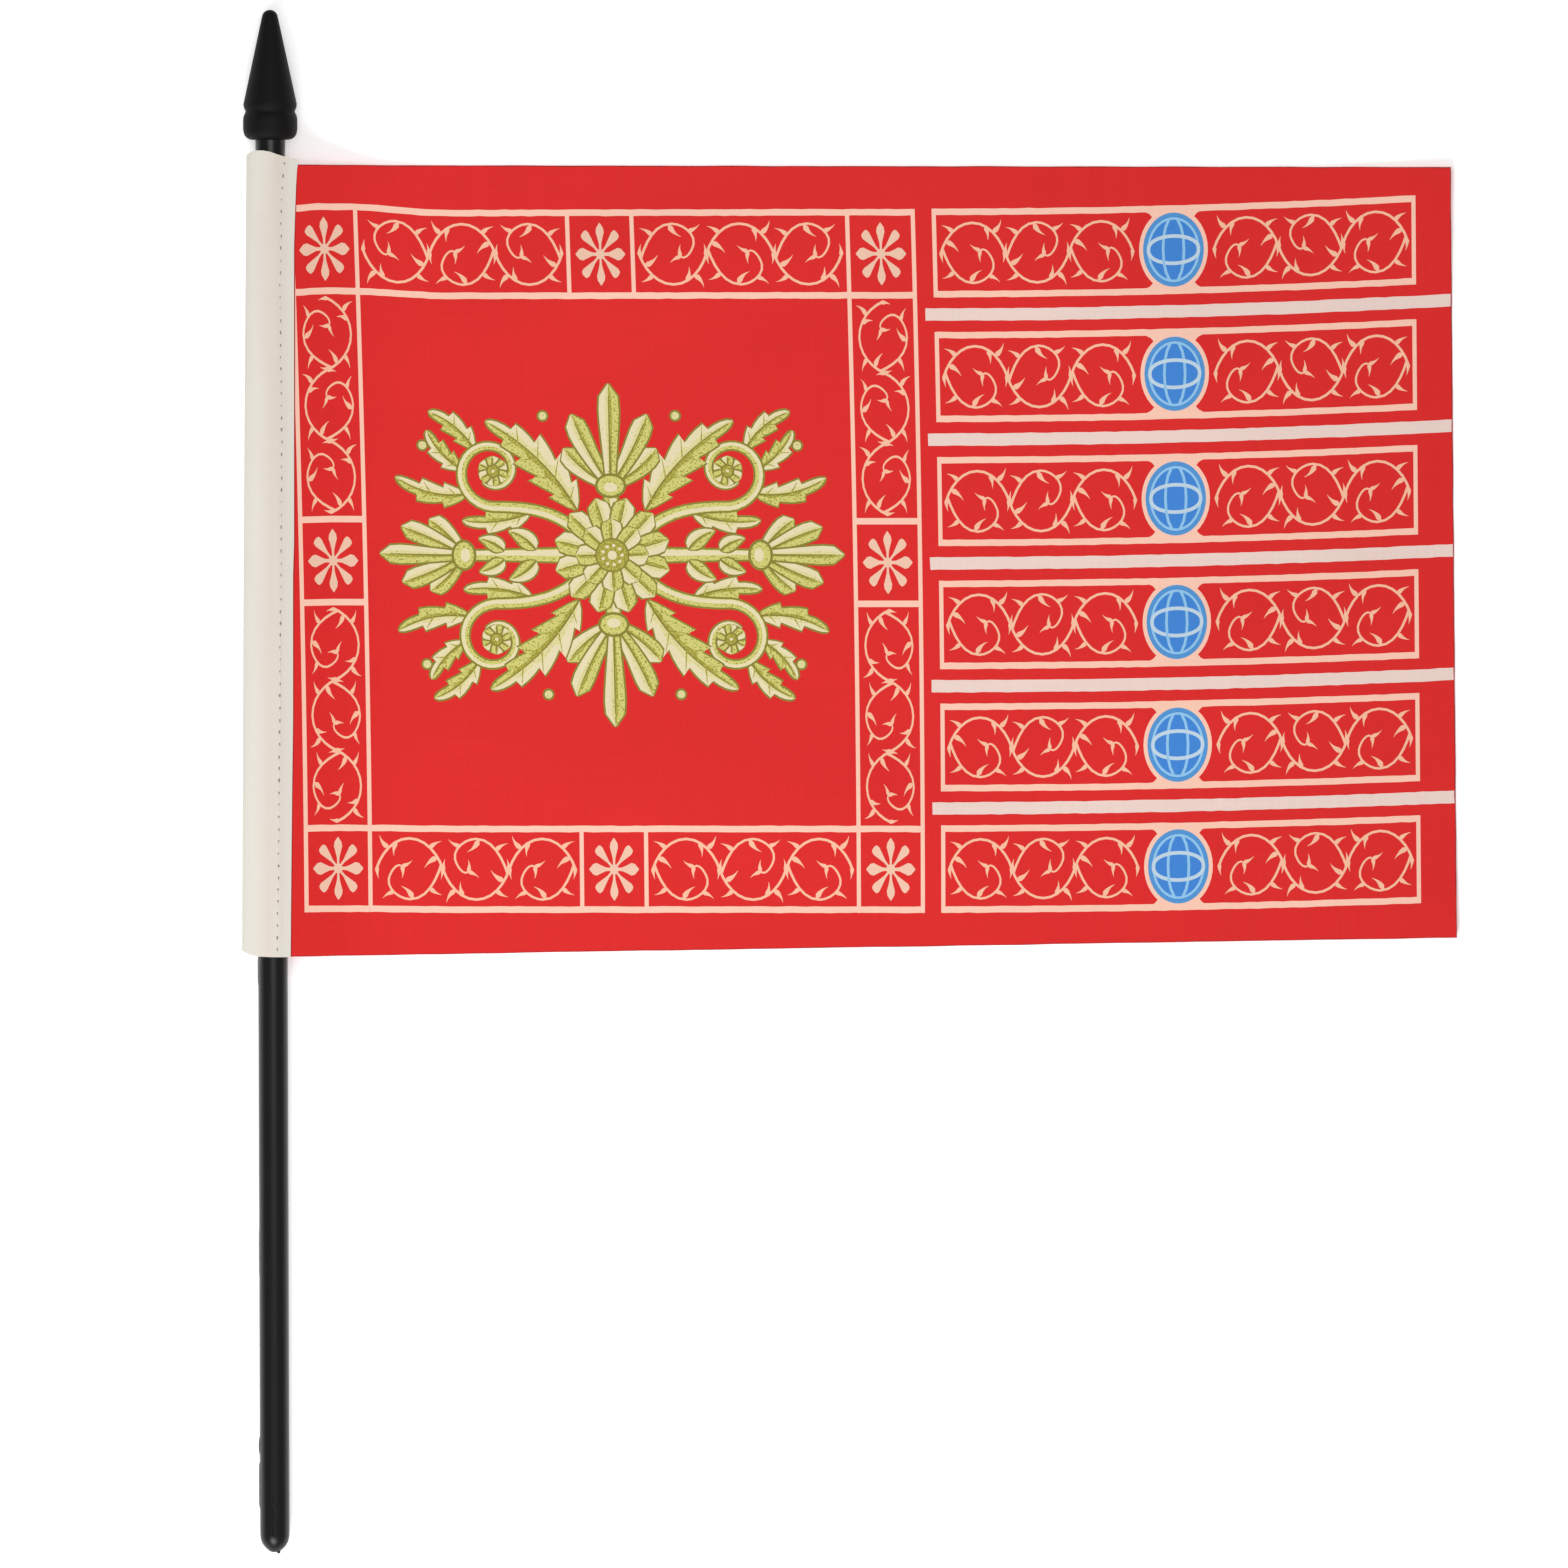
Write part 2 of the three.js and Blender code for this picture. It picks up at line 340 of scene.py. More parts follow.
def plastic_material(name, roughness, specular):
    made, tree, shader = new_material(name, roughness, specular=specular)
    where = node(tree, "ShaderNodeTexCoord").outputs["Object"]
    flow = noise_at(tree, where, FLOW_SCALE, 3.0, FLOW_STRETCH)
    grit = noise_at(tree, where, GRIT_SCALE, 2.0)
    dark, light = PLASTIC_TONES
    colour = blended(tree, flow, linear(*dark), linear(*light))
    tree.links.new(colour, shader.inputs["Base Color"])
    waves = maths(tree, "MULTIPLY", flow, FLOW_DEPTH)
    tree.links.new(maths(tree, "ADD", waves, roughness), shader.inputs["Roughness"])
    height = maths(tree, "ADD", waves, maths(tree, "MULTIPLY", grit, GRIT_DEPTH))
    bump = node(tree, "ShaderNodeBump", {"Height": height, "Distance": MM, "Strength": 0.6})
    tree.links.new(bump.outputs[0], shader.inputs["Normal"])
    return made


# The print: patches of ink, later ones over earlier ones, in print coordinates. u and v are
# millimetres from the stick's axis and down from the spear's point on a straight, square print.

# Each ink's red, green and blue, and how much it is stippled with olive dots
INKS = {
    "red": (214, 40, 39, 0.0),
    # melt: the darker bead of the hot-cut edges, and also painted shadow beside the flap's edge
    "melt_and_shadow": (176, 40, 40, 0.0),
    "line": (244, 196, 175, 0.0),
    "vine": (241, 186, 156, 0.0),
    "petal": (233, 191, 167, 0.0),
    "pale": (230, 206, 197, 0.0),
    "blue": (64, 130, 208, 0.0),
    "rim_blue": (82, 146, 204, 0.0),
    "sky": (142, 192, 228, 0.0),
    "mist": (188, 208, 222, 0.0),
    "cream": (224, 212, 173, 0.05),
    "sand": (216, 207, 148, 0.2),
    "straw": (204, 200, 116, 0.35),
    "olive": (180, 176, 84, 0.6),
    "moss": (132, 124, 50, 0.1),
}

PRINT_MIDDLE = 104.8
PRINT_HALF = 66.3
FRAME_TOP = 38.75
FRAME_FOOT = 171.35

# The print lies askew: its uprights slant and bow, and its level lines tilt towards the stick,
# climb towards the fly end and bow near the tape. Spans are two u between which a share changes.
SLANTS = (1.27, 0.32)
SLANT_SPAN = (70, 172)
BARREL = 0.45
BARREL_SPAN = (120, 190)
TILT = 0.0035
TILT_SHARES = (0.4, 1)
CLIMBS = (0.00029, 0.0002)
CLIMB_START = 130
BOW = 1.2
BOW_FADE = 2
BOW_END = (15, 36)
BOW_START = (4, 12)
BOW_START_SHARE = 0.55


def lie(u, v):
    """Where a point of the print lies on the cloth, x and down: it is sewn a little askew."""
    level = (v - PRINT_MIDDLE) / PRINT_HALF
    slant = mix(*SLANTS, smooth(u, *SLANT_SPAN))
    barrel = mix(BARREL, 0, smooth(u, *BARREL_SPAN))
    x = u + slant * level - barrel * level**2
    depth = (v - FRAME_TOP) / (FRAME_FOOT - FRAME_TOP)
    tilt = TILT * mix(*TILT_SHARES, depth) * max(0, SQUARE_FLY - u)
    climb = mix(*CLIMBS, depth) * max(0, u - CLIMB_START) ** 2
    bow = BOW * math.exp(-BOW_FADE * depth) * (1 - smooth(u, *BOW_END))
    bow *= mix(BOW_START_SHARE, 1, smooth(u, *BOW_START))
    return x, v - tilt - climb - bow


# How far a curve's handles reach, as a share of the distance between its ends
CURVE_PULL = 0.36


def walk(start, lean, length, curl, steps):
    """Points of a path that leaves start at an angle and bends evenly by curl, in degrees."""
    path = [start]
    for step in range(steps):
        cosine, sine = heading(lean + curl * (step + 0.5) / steps)
        s, t = path[-1]
        path.append((s + length / steps * cosine, t + length / steps * sine))
    return path


def curve(start, start_lean, end, end_lean, steps):
    """Points of a smooth curve that leaves start and reaches end at the given angles."""
    pull = CURVE_PULL * math.dist(start, end)
    out = heading(start_lean)
    back = heading(end_lean)
    a = [start[k] + pull * out[k] for k in (0, 1)]
    b = [end[k] - pull * back[k] for k in (0, 1)]
    points = []
    for step in range(steps + 1):
        t = step / steps
        weights = ((1 - t) ** 3, 3 * t * (1 - t) ** 2, 3 * t * t * (1 - t), t**3)
        pairs = list(zip(weights, (start, a, b, end)))
        points.append(tuple(sum(weight * point[k] for weight, point in pairs) for k in (0, 1)))
    return points


def sideways(path, index, closed=False):
    """The unit direction to the left of a path at one of its points."""
    count = len(path)
    before = path[(index - 1) % count] if closed or index else path[0]
    after = path[(index + 1) % count] if closed or index < count - 1 else path[-1]
    length = math.dist(before, after)
    return -(after[1] - before[1]) / length, (after[0] - before[0]) / length


def plain(s, t):
    return s, t


# Steps along a straight line in millimetres, and how far the dye ran along the threads
PLAIN_STEP = 6
ROUGH_STEP = 1.6
LINE_ROUGHNESS = 0.05
STRIPE_ROUGHNESS = 0.06
PRINT_SEED = 11


class Design:
    """Patches of ink in painting order. at maps a motif's own coordinates to the print's."""

    def __init__(self):
        self.patches = []
        self.chance = random.Random(PRINT_SEED)

    def patch(self, ink, outline, at=plain):
        self.patches.append((ink, [at(*point) for point in outline]))

    def stroke(self, ink, path, widths, at=plain, closed=False, offset=0):
        """A line along a path, as a chain of four-sided patches."""
        edges = []
        for index, (s, t) in enumerate(path):
            left = sideways(path, index, closed)
            reaches = (offset + widths[index] / 2, offset - widths[index] / 2)
            edges.append([(s + left[0] * reach, t + left[1] * reach) for reach in reaches])
        for index in range(len(path) if closed else len(path) - 1):
            a, b = edges[index]
            c, d = edges[(index + 1) % len(path)]
            self.patch(ink, [a, b, d, c], at)

    def line(self, ink, start, end, width, rough=0.0):
        """A straight line. A rough one has the small steps of dye that ran along the threads."""
        steps = max(1, round(math.dist(start, end) / (ROUGH_STEP if rough else PLAIN_STEP)))
        path = []
        widths = []
        for step in range(steps + 1):
            shift = self.chance.uniform(-rough, rough)
            s, t = (mix(start[k], end[k], step / steps) for k in (0, 1))
            path.append((s, t + shift))
            widths.append(width + self.chance.uniform(-rough, rough))
        self.stroke(ink, path, widths)

    def ellipse(self, ink, middle, half_s, half_t, at=plain, steps=40):
        self.patch(ink, ring_points(middle, half_s, half_t, steps), at)

    def ellipse_line(self, ink, middle, half_s, half_t, width, steps=36):
        self.stroke(ink, ring_points(middle, half_s, half_t, steps), [width] * steps, closed=True)


def ring_points(middle, half_s, half_t, steps):
    turns = [2 * math.pi * step / steps for step in range(steps)]
    return [(middle[0] + half_s * math.cos(a), middle[1] + half_t * math.sin(a)) for a in turns]


LEVEL_LINE = 1.22
UPRIGHT_LINE = 0.78
HOIST_FRAME = 5.62
SQUARE_FLY = 123.2
COLUMNS = (17.72, 110.88)
ROWS = (54.53, 156.0)
LEVEL_DIVIDERS = (57.95, 70.2)
UPRIGHT_DIVIDERS = (97.5, 113.2)


def border(design):
    """The square part's double frame, its dividers, rosettes and scrolls."""
    for v in (FRAME_TOP, ROWS[0], ROWS[1], FRAME_FOOT):
        start = CLOTH_HOIST_X if v == FRAME_TOP else HOIST_FRAME
        design.line("line", (start, v), (SQUARE_FLY, v), LEVEL_LINE, LINE_ROUGHNESS)
    half = LEVEL_LINE / 2
    for u in (HOIST_FRAME, COLUMNS[0], COLUMNS[1], SQUARE_FLY):
        design.line("line", (u, FRAME_TOP - half), (u, FRAME_FOOT + half), UPRIGHT_LINE)
    for v, w in ((FRAME_TOP, ROWS[0]), (ROWS[1], FRAME_FOOT)):
        for u in LEVEL_DIVIDERS:
            design.line("line", (u, v), (u, w), UPRIGHT_LINE)
    for u, w in ((HOIST_FRAME, COLUMNS[0]), (COLUMNS[1], SQUARE_FLY)):
        for v in UPRIGHT_DIVIDERS:
            design.line("line", (u, v), (w, v), LEVEL_LINE)
    middle = (sum(LEVEL_DIVIDERS) / 2, sum(UPRIGHT_DIVIDERS) / 2)
    left = (HOIST_FRAME + COLUMNS[0]) / 2
    right = (COLUMNS[1] + SQUARE_FLY) / 2
    top = (FRAME_TOP + ROWS[0]) / 2
    foot = (ROWS[1] + FRAME_FOOT) / 2
    for u in (left, middle[0], right):
        rosette(design, (u, top))
        rosette(design, (u, foot))
    for u in (left, right):
        rosette(design, (u, middle[1]))
    height = ROWS[0] - FRAME_TOP - LEVEL_LINE
    for v, across in ((top, 1), (foot, -1)):
        scroll(design, (COLUMNS[0], v), (1, 0), (0, across), LEVEL_DIVIDERS[0] - COLUMNS[0], height)
        scroll(design, (COLUMNS[1], v), (-1, 0), (0, across), COLUMNS[1] - LEVEL_DIVIDERS[1], height)
    height = COLUMNS[0] - HOIST_FRAME - UPRIGHT_LINE
    for u, across in ((left, 1), (right, -1)):
        scroll(design, (u, ROWS[0]), (0, 1), (across, 0), UPRIGHT_DIVIDERS[0] - ROWS[0], height)
        scroll(design, (u, ROWS[1]), (0, -1), (across, 0), ROWS[1] - UPRIGHT_DIVIDERS[1], height)


# A rosette's petals, as shares of its half size: distance from the middle and half width
POINTED_PETAL = ((0.06, 0.035), (0.34, 0.05), (0.54, 0.11), (0.7, 0.165), (0.84, 0.14), (1.0, 0.014))
BLUNT_PETAL = ((0.06, 0.035), (0.34, 0.045), (0.56, 0.1), (0.82, 0.165), (0.94, 0.145), (0.98, 0.07))
LEVEL_PETAL_WIDENING = 1.22
ROSETTE_HALF = (4.7, 5.95)
ROSETTE_HEART = (0.85, 0.95)


def rosette(design, middle):
    """Eight petals from a small middle: pointed ones upright and level, blunt ones between."""
    for petal in range(8):
        angle = petal * math.pi / 4
        profile = BLUNT_PETAL if petal % 2 else POINTED_PETAL
        widening = LEVEL_PETAL_WIDENING if petal % 4 == 0 else 1
        outline = []
        for side, rows in ((1, profile), (-1, profile[::-1])):
            for reach, half in rows:
                half *= widening
                a = reach * math.cos(angle) - side * half * math.sin(angle)
                b = reach * math.sin(angle) + side * half * math.cos(angle)
                outline.append((middle[0] + a * ROSETTE_HALF[0], middle[1] + b * ROSETTE_HALF[1]))
        design.patch("petal", outline)
    design.ellipse("petal", middle, *ROSETTE_HEART, steps=16)


# A scroll is three even loops along a panel of this length and height, each one turned over from
# the one before. s runs along the panel from its near end, and t across it from its middle.
SCROLL_PANEL = (40.2, 14.6)
LOOP_MIDDLES = (7.5, 20.1, 32.7)

# A loop's lines from its middle, as knots of s, t and the line's angle there, and their widths
LOOP_LINES = (
    (((-6.3, 0, 72), (0, 5.8, 0), (6.3, 0, -72)), 0.48, 0.48),
    (((6, 0.9, -108), (0, -5.8, 180), (-4, -2, 80), (-1.5, 0.5, -40)), 0.48, 0.36),
)

# A loop's leaflets: the root's s and t, the angle that they leave at, their length and their bend
LOOP_LEAFLETS = (
    (-4, 4, 150, 3, -50),
    (-2.5, 5.1, -120, 2.8, 40),
    (3.8, 4, 50, 2.7, -40),
    (5.2, 2.2, -160, 3.2, 40),
    (3.8, -3.6, -50, 2.7, 40),
    (0.5, -5.5, 110, 3.2, 50),
    (-3, -4.4, -170, 2.6, 40),
    (-1.5, 0.5, -70, 2.4, -40),
    (-1.5, 0.5, 10, 2.4, 40),
    (6.2, 0.4, -85, 2.4, -25),
    (-6.2, 0.4, -95, 2.4, 25),
)

# Width of a leaflet along its length, as shares of its widest
LEAFLET = (0.45, 1.0, 0.74, 0.42, 0.2, 0.03)
LEAFLET_WIDTH = 0.33
KNOT_STEPS = 6


def scroll(design, start, along, across, length, height):
    """A wave of leafy loops. start is the middle of the panel's near end."""
    stretch_s = length / SCROLL_PANEL[0]
    stretch_t = height / SCROLL_PANEL[1]
    for number, middle in enumerate(LOOP_MIDDLES):
        turn = -1 if number % 2 else 1

        def at(s, t, middle=middle, turn=turn):
            s = (middle + s) * stretch_s
            t *= turn * stretch_t
            return start[0] + along[0] * s + across[0] * t, start[1] + along[1] * s + across[1] * t

        for knots, first, last in LOOP_LINES:
            path = [knots[0][:2]]
            for (s, t, lean), (next_s, next_t, next_lean) in zip(knots, knots[1:]):
                path += curve((s, t), lean, (next_s, next_t), next_lean, KNOT_STEPS)[1:]
            steps = len(path) - 1
            widths = [mix(first, last, step / steps) for step in range(steps + 1)]
            design.stroke("vine", path, widths, at)
        for s, t, lean, size, bend in LOOP_LEAFLETS:
            spine = walk((s, t), lean, size, bend, len(LEAFLET) - 1)
            design.stroke("vine", spine, [LEAFLET_WIDTH * size * share for share in LEAFLET], at)


# The six tails of the fly end: top and height of each framed bar
BARS = (
    (38.72, 15.62),
    (62.14, 15.92),
    (85.91, 15.71),
    (109.42, 15.6),
    (132.8, 15.46),
    (155.93, 15.41),
)
BAR_START = 127.13
BAR_END = 217.5
OVAL_AT = 171.9
OVAL_HALF = (6.5, 7.9)
STRIPE_START = 125.1
STRIPE_WIDTH = 2.34
STRIPE_OVERRUN = 3


def tails(design):
    for top, height in BARS:
        foot = top + height
        middle = (top + foot) / 2
        for v in (top, foot):
            design.line("line", (BAR_START, v), (BAR_END, v), LEVEL_LINE, LINE_ROUGHNESS)
        for u in (BAR_START, BAR_END):
            design.line("line", (u, top - LEVEL_LINE / 2), (u, foot + LEVEL_LINE / 2), UPRIGHT_LINE)
        inner = height - LEVEL_LINE
        left = OVAL_AT - OVAL_HALF[0]
        right = OVAL_AT + OVAL_HALF[0]
        scroll(design, (left, middle), (-1, 0), (0, -1), left - BAR_START, inner)
        scroll(design, (right, middle), (1, 0), (0, -1), BAR_END - OVAL_AT - OVAL_HALF[0], inner)
        oval(design, (OVAL_AT, middle))
    end = CLOTH_FOOT["fly_x"] + STRIPE_OVERRUN
    for (top, height), (next_top, _) in zip(BARS, BARS[1:]):
        v = (top + height + next_top) / 2
        design.line("pale", (STRIPE_START, v), (end, v), STRIPE_WIDTH, STRIPE_ROUGHNESS)


# An oval's parts from its middle: half sizes, line widths, and points of a quarter
OVAL_CORNER = ((1.9, 7.4), (3.9, 6.2), (4.5, 6.9), (5.4, 7.35))
OVAL_RIM = (5.75, 7.05)
OVAL_FIELD = (5.1, 6.35)
OVAL_LINE = (4.75, 5.95, 0.48)
OVAL_UPRIGHT = ((0.8, 5.75), (1.45, 4.3), (1.85, 2.4))
OVAL_UPRIGHT_MIDDLE = 1.97
OVAL_UPRIGHT_WIDTH = 0.52
EYE_HALF = (4.75, 2.6)
EYE_SHARPNESS = 0.85
EYE_WIDTH = 0.68
EYE_STEPS = 14


def oval(design, middle):
    """A blue oval in a cream ring, with a lighter oval, two uprights and an eye shape on it."""
    design.ellipse("line", middle, *OVAL_HALF)
    for side in (1, -1):
        for end in (1, -1):
            corner = [(middle[0] + side * a, middle[1] + end * b) for a, b in OVAL_CORNER]
            design.patch("line", corner)
    design.ellipse("rim_blue", middle, *OVAL_RIM)
    design.ellipse("blue", middle, *OVAL_FIELD)
    design.ellipse_line("sky", middle, *OVAL_LINE)
    upright = [(a, -b) for a, b in OVAL_UPRIGHT] + [(OVAL_UPRIGHT_MIDDLE, 0), *OVAL_UPRIGHT[::-1]]
    for side in (1, -1):
        path = [(middle[0] + side * a, middle[1] + b) for a, b in upright]
        design.stroke("sky", path, [OVAL_UPRIGHT_WIDTH] * len(path))
        lid = []
        for step in range(EYE_STEPS + 1):
            angle = math.pi * step / EYE_STEPS
            rise = side * EYE_HALF[1] * math.sin(angle) ** EYE_SHARPNESS
            lid.append((middle[0] + EYE_HALF[0] * math.cos(angle), middle[1] + rise))
        design.stroke("mist", lid, [EYE_WIDTH] * len(lid))


# The field's ornament: a round flower with leaves, volutes and fans, alike on both sides
ORNAMENT_MIDDLE = (64.7, 103.9)
ORNAMENT_OUTLINE = 0.36
LOBE_STEPS = 4
LEAF_STEPS = 8

# How a leaf's and a petal's half widths run from the root to the tip
LEAF_PEAK = 0.72
LEAF_BLUNTNESS = 0.85
PETAL_START = 0.32
PETAL_SPREAD = 0.68
PETAL_ROUNDNESS = 3.2

# A lobed leaf: its half width at a lobe's start, how a lobe swells, and how far its tip points
# ahead. A leaf without lobes is as wide all along as at one point of a lobe.
LOBE_BASE = 0.52
LOBE_SWELL = 0.6
LOBE_AHEAD = 0.55
PLAIN_LOBE = 0.8

# Inner strips of a leaf as shares of its half width, and its vein and side veins in millimetres
PALE_STRIP = 0.38
DARK_STRIP = 0.3
VEIN = (0.42, 0.12)
SIDE_VEIN = (0.3, 0.12)
SIDE_VEIN_REACH = 0.36
SIDE_VEIN_AHEAD = 0.9

# The corners' leaves: root, lean, length, width, curl, lobes and the pale side. The root of the
# first three is the number of a point of the winding stem.
WINDING_LEAVES = (
    (12, 62, 11.5, 4.6, -44, 3, 1),
    (8, 28, 10, 4.2, 40, 3, -1),
    (4, -10, 14.5, 5.0, 44, 3, 1),
)
CORNER_LEAVES = (
    ((15.2, 8.2), -24, 13.5, 4.8, 34, 3, -1),
    ((14.5, 1.0), 58, 6.5, 3.2, -46, 0, 1),
    ((20.5, 0.8), 46, 5.5, 2.8, -40, 0, 1),
)
LARGE_LEAF = ((6.5, 8.5), 62, 24.5, 8.4, -34, 5, 1)
BERRIES = ((12.6, 26.5), (35.6, 20.8), (33.0, 5.9))

# The corners' winding stem: its start and crest, the middle that it winds round, and its widths
STEM_START = (7, 5)
STEM_START_LEAN = 40
STEM_CREST = (22.5, 9.2)
STEM_STEPS = 14
WINDING_MIDDLE = (22.5, 16)
WINDING_RADIUS = 6.8
STEM_WIDTHS = (1.9, 0.9)
CORNER_FLOWER = (22.3, 16)

# The winding's first angle and its sweep in degrees, the share that its radius shrinks to, and steps
WINDING = (-90, 400, 0.34, 34)

# The straight stems from the middle flower: their stops and their widths
LEVEL_STEM = (range(8, 29, 2), 2.6, 1.6)
UPRIGHT_STEM = (range(8, 15), 2.6, 2.2)

# A stem's pale edge: its width and its shift as shares of the stem's width
STEM_LIGHT = 0.45
STEM_LIGHT_SHIFT = 0.16

# The fans at the four ends: root, the petals' swing and length, and their width
UPRIGHT_FAN = (13.2, ((66, 11.5), (36, 15.5), (0, 19.5)), 4.9)
LEVEL_FAN = (28.2, ((60, 9.5), (31, 13), (0, 16)), 4.5)
FAN_CURL = 0.45

# Ovals painted one over another, as ink, half sizes and steps: a fan's knob and a berry
KNOB = (("moss", 3.0, 2.4, 20), ("straw", 2.5, 1.9, 20))
KNOB_LIGHT = ("cream", 1.3, 0.9, 14)
KNOB_LIGHT_SHIFT = 0.3
BERRY = (("moss", 1.15, 1.15, 14), ("sand", 0.78, 0.78, 12))

# Flowers: radius and number of petals. A petal's width is a multiple of radius over petals, and the
# second ring's length and width are shares of the radius.
MIDDLE_FLOWER = (11.2, 12)
SMALL_FLOWER = (2.9, 6)
PETAL_WIDTH = 5.6
SECOND_RING = {"petals": 8, "length": 0.62, "width": 0.42}

# A flower's heart: its share of the radius and what is added, its rim, seeds and light
HEART_SHARE = 0.24
HEART_MORE = 0.3
HEART_RIM = 0.3
SEEDS = 9
SEED_RING = 0.62
SEED_RADIUS = 0.34
HEART_LIGHT = 0.3


def leaf_width(share):
    return math.sin(math.pi * share**LEAF_PEAK) ** LEAF_BLUNTNESS


def petal_width(share):
    outer_half = 2 * max(share, 0.5) - 1
    return (PETAL_START + PETAL_SPREAD * share) * math.sqrt(max(0, 1 - outer_half**PETAL_ROUNDNESS))


def leaf_side(spine, side, width, shape, lobes, grow, share_of_half):
    """One side of a leaf as an outline, from its spine to a share of its half width."""
    steps = len(spine) - 1
    rim = []
    for index, (s, t) in enumerate(spine):
        share = index / steps
        lobe = (share * lobes) % 1 if lobes else PLAIN_LOBE
        half = width / 2 * shape(share) * (LOBE_BASE + LOBE_SWELL * lobe)
        left = sideways(spine, index)
        reach = share_of_half * half + grow
        ahead = LOBE_AHEAD * reach * lobe if lobes else 0
        rim.append((
            s + side * left[0] * reach + left[1] * ahead,
            t + side * left[1] * reach - left[0] * ahead,
        ))
    return spine + rim[::-1]


def leaf(design, at, root, lean, length, width, curl, lobes=0, light=1, shape=leaf_width):
    """A leaf or petal: a dark outline, a pale side, a shaded side and veins."""
    steps = LOBE_STEPS * lobes if lobes else LEAF_STEPS
    spine = walk(root, lean, length, curl, steps)
    for ink, side, grow, share in (
        ("moss", 1, ORNAMENT_OUTLINE, 1),
        ("moss", -1, ORNAMENT_OUTLINE, 1),
        ("cream", light, 0, 1),
        ("straw", -light, 0, 1),
        ("sand", light, 0, PALE_STRIP),
        ("olive", -light, 0, DARK_STRIP),
    ):
        design.patch(ink, leaf_side(spine, side, width, shape, lobes, grow, share), at)
    design.stroke("moss", spine[:-1], [mix(*VEIN, step / steps) for step in range(steps)], at)
    for lobe in range(1, lobes):
        index = LOBE_STEPS * lobe - LOBE_STEPS // 2
        left = sideways(spine, index)
        reach = SIDE_VEIN_REACH * width * shape(index / steps)
        for side in (1, -1):
            tip = (
                spine[index][0] + side * left[0] * reach + left[1] * reach * SIDE_VEIN_AHEAD,
                spine[index][1] + side * left[1] * reach - left[0] * reach * SIDE_VEIN_AHEAD,
            )
            design.stroke("olive", [spine[index], tip], SIDE_VEIN, at)


def vine(design, at, path, first, last):
    """A round stem along a path: dark outline, shaded body and a pale upper edge."""
    count = len(path)
    body = [mix(first, last, step / (count - 1)) for step in range(count)]
    design.stroke("moss", path, [width + 2 * ORNAMENT_OUTLINE for width in body], at)
    design.stroke("straw", path, body, at)
    pale = [STEM_LIGHT * width for width in body]
    design.stroke("cream", path, pale, at, offset=-STEM_LIGHT_SHIFT * first)


def volute(middle, radius, start, sweep, tightening, steps):
    """Points of a spiral round middle, whose radius shrinks to a share of what it was."""
    points = []
    for step in range(steps + 1):
        share = step / steps
        cosine, sine = heading(start + sweep * share)
        reach = radius * mix(1, tightening, share)
        points.append((middle[0] + reach * cosine, middle[1] + reach * sine))
    return points


def ornament(design):
    middle_u, middle_v = ORNAMENT_MIDDLE
    for side in (1, -1):
        def beside(s, t, side=side):
            return middle_u + side * s, middle_v + t

        def above(s, t, side=side):
            return middle_u + s, middle_v + side * t

        def aside(s, t, side=side):
            return middle_u + side * t, middle_v + s

        vine(design, beside, [(s, 0) for s in LEVEL_STEM[0]], *LEVEL_STEM[1:])
        vine(design, above, [(0, t) for t in UPRIGHT_STEM[0]], *UPRIGHT_STEM[1:])
        for end in (1, -1):
            def corner(s, t, side=side, end=end):
                return middle_u + side * s, middle_v + end * t

            corner_of_ornament(design, corner)
        fan(design, above, *UPRIGHT_FAN)
        fan(design, aside, *LEVEL_FAN)
    flower(design, ORNAMENT_MIDDLE, *MIDDLE_FLOWER)


def fan(design, at, root, petals, width):
    """Petals spread from a knob at root, the outer ones first."""
    for swing, length in petals:
        for side in (1, -1) if swing else (1,):
            curl = -FAN_CURL * side * swing
            leaf(design, at, (0, root), 90 + side * swing, length, width, curl, shape=petal_width)
    ovals(design, at, (0, root), KNOB)
    ovals(design, at, (0, root - KNOB_LIGHT_SHIFT), (KNOB_LIGHT,))


def ovals(design, at, spot, rows):
    for ink, half_s, half_t, steps in rows:
        design.ellipse(ink, spot, half_s, half_t, at, steps)


def corner_of_ornament(design, at):
    """A quarter of the ornament: leaves and a stem that winds round a small flower."""
    winding = volute(WINDING_MIDDLE, WINDING_RADIUS, *WINDING)
    stem = curve(STEM_START, STEM_START_LEAN, STEM_CREST, 0, STEM_STEPS) + winding[1:]
    for point, *form in WINDING_LEAVES:
        leaf(design, at, winding[point], *form)
    for form in CORNER_LEAVES:
        leaf(design, at, *form)
    vine(design, at, stem, *STEM_WIDTHS)
    leaf(design, at, *LARGE_LEAF)
    flower(design, CORNER_FLOWER, *SMALL_FLOWER, at)
    for spot in BERRIES:
        ovals(design, at, spot, BERRY)


def flower(design, middle, radius, petals, at=plain):
    """A round flower with a seeded heart, and a second ring of petals where it is large."""
    for petal in range(petals):
        lean = 360 * (petal + 0.5) / petals
        width = PETAL_WIDTH * radius / petals
        leaf(design, at, middle, lean, radius, width, 0, shape=petal_width)
    heart = HEART_SHARE * radius + HEART_MORE
    large = petals > SECOND_RING["petals"]
    if large:
        for petal in range(SECOND_RING["petals"]):
            lean = 360 * petal / SECOND_RING["petals"]
            form = (lean, SECOND_RING["length"] * radius, SECOND_RING["width"] * radius, 0)
            leaf(design, at, middle, *form, shape=petal_width)
    ovals(design, at, middle, (
        ("moss", heart + HEART_RIM, heart + HEART_RIM, 20),
        ("olive", heart, heart, 20),
    ))
    for spot in ring_points(middle, SEED_RING * heart, SEED_RING * heart, SEEDS) if large else ():
        design.ellipse("cream", spot, SEED_RADIUS, SEED_RADIUS, at, 8)
    design.ellipse("cream", middle, HEART_LIGHT * heart, HEART_LIGHT * heart, at, 10)


def whole_print():
    design = Design()
    border(design)
    tails(design)
    ornament(design)
    return design
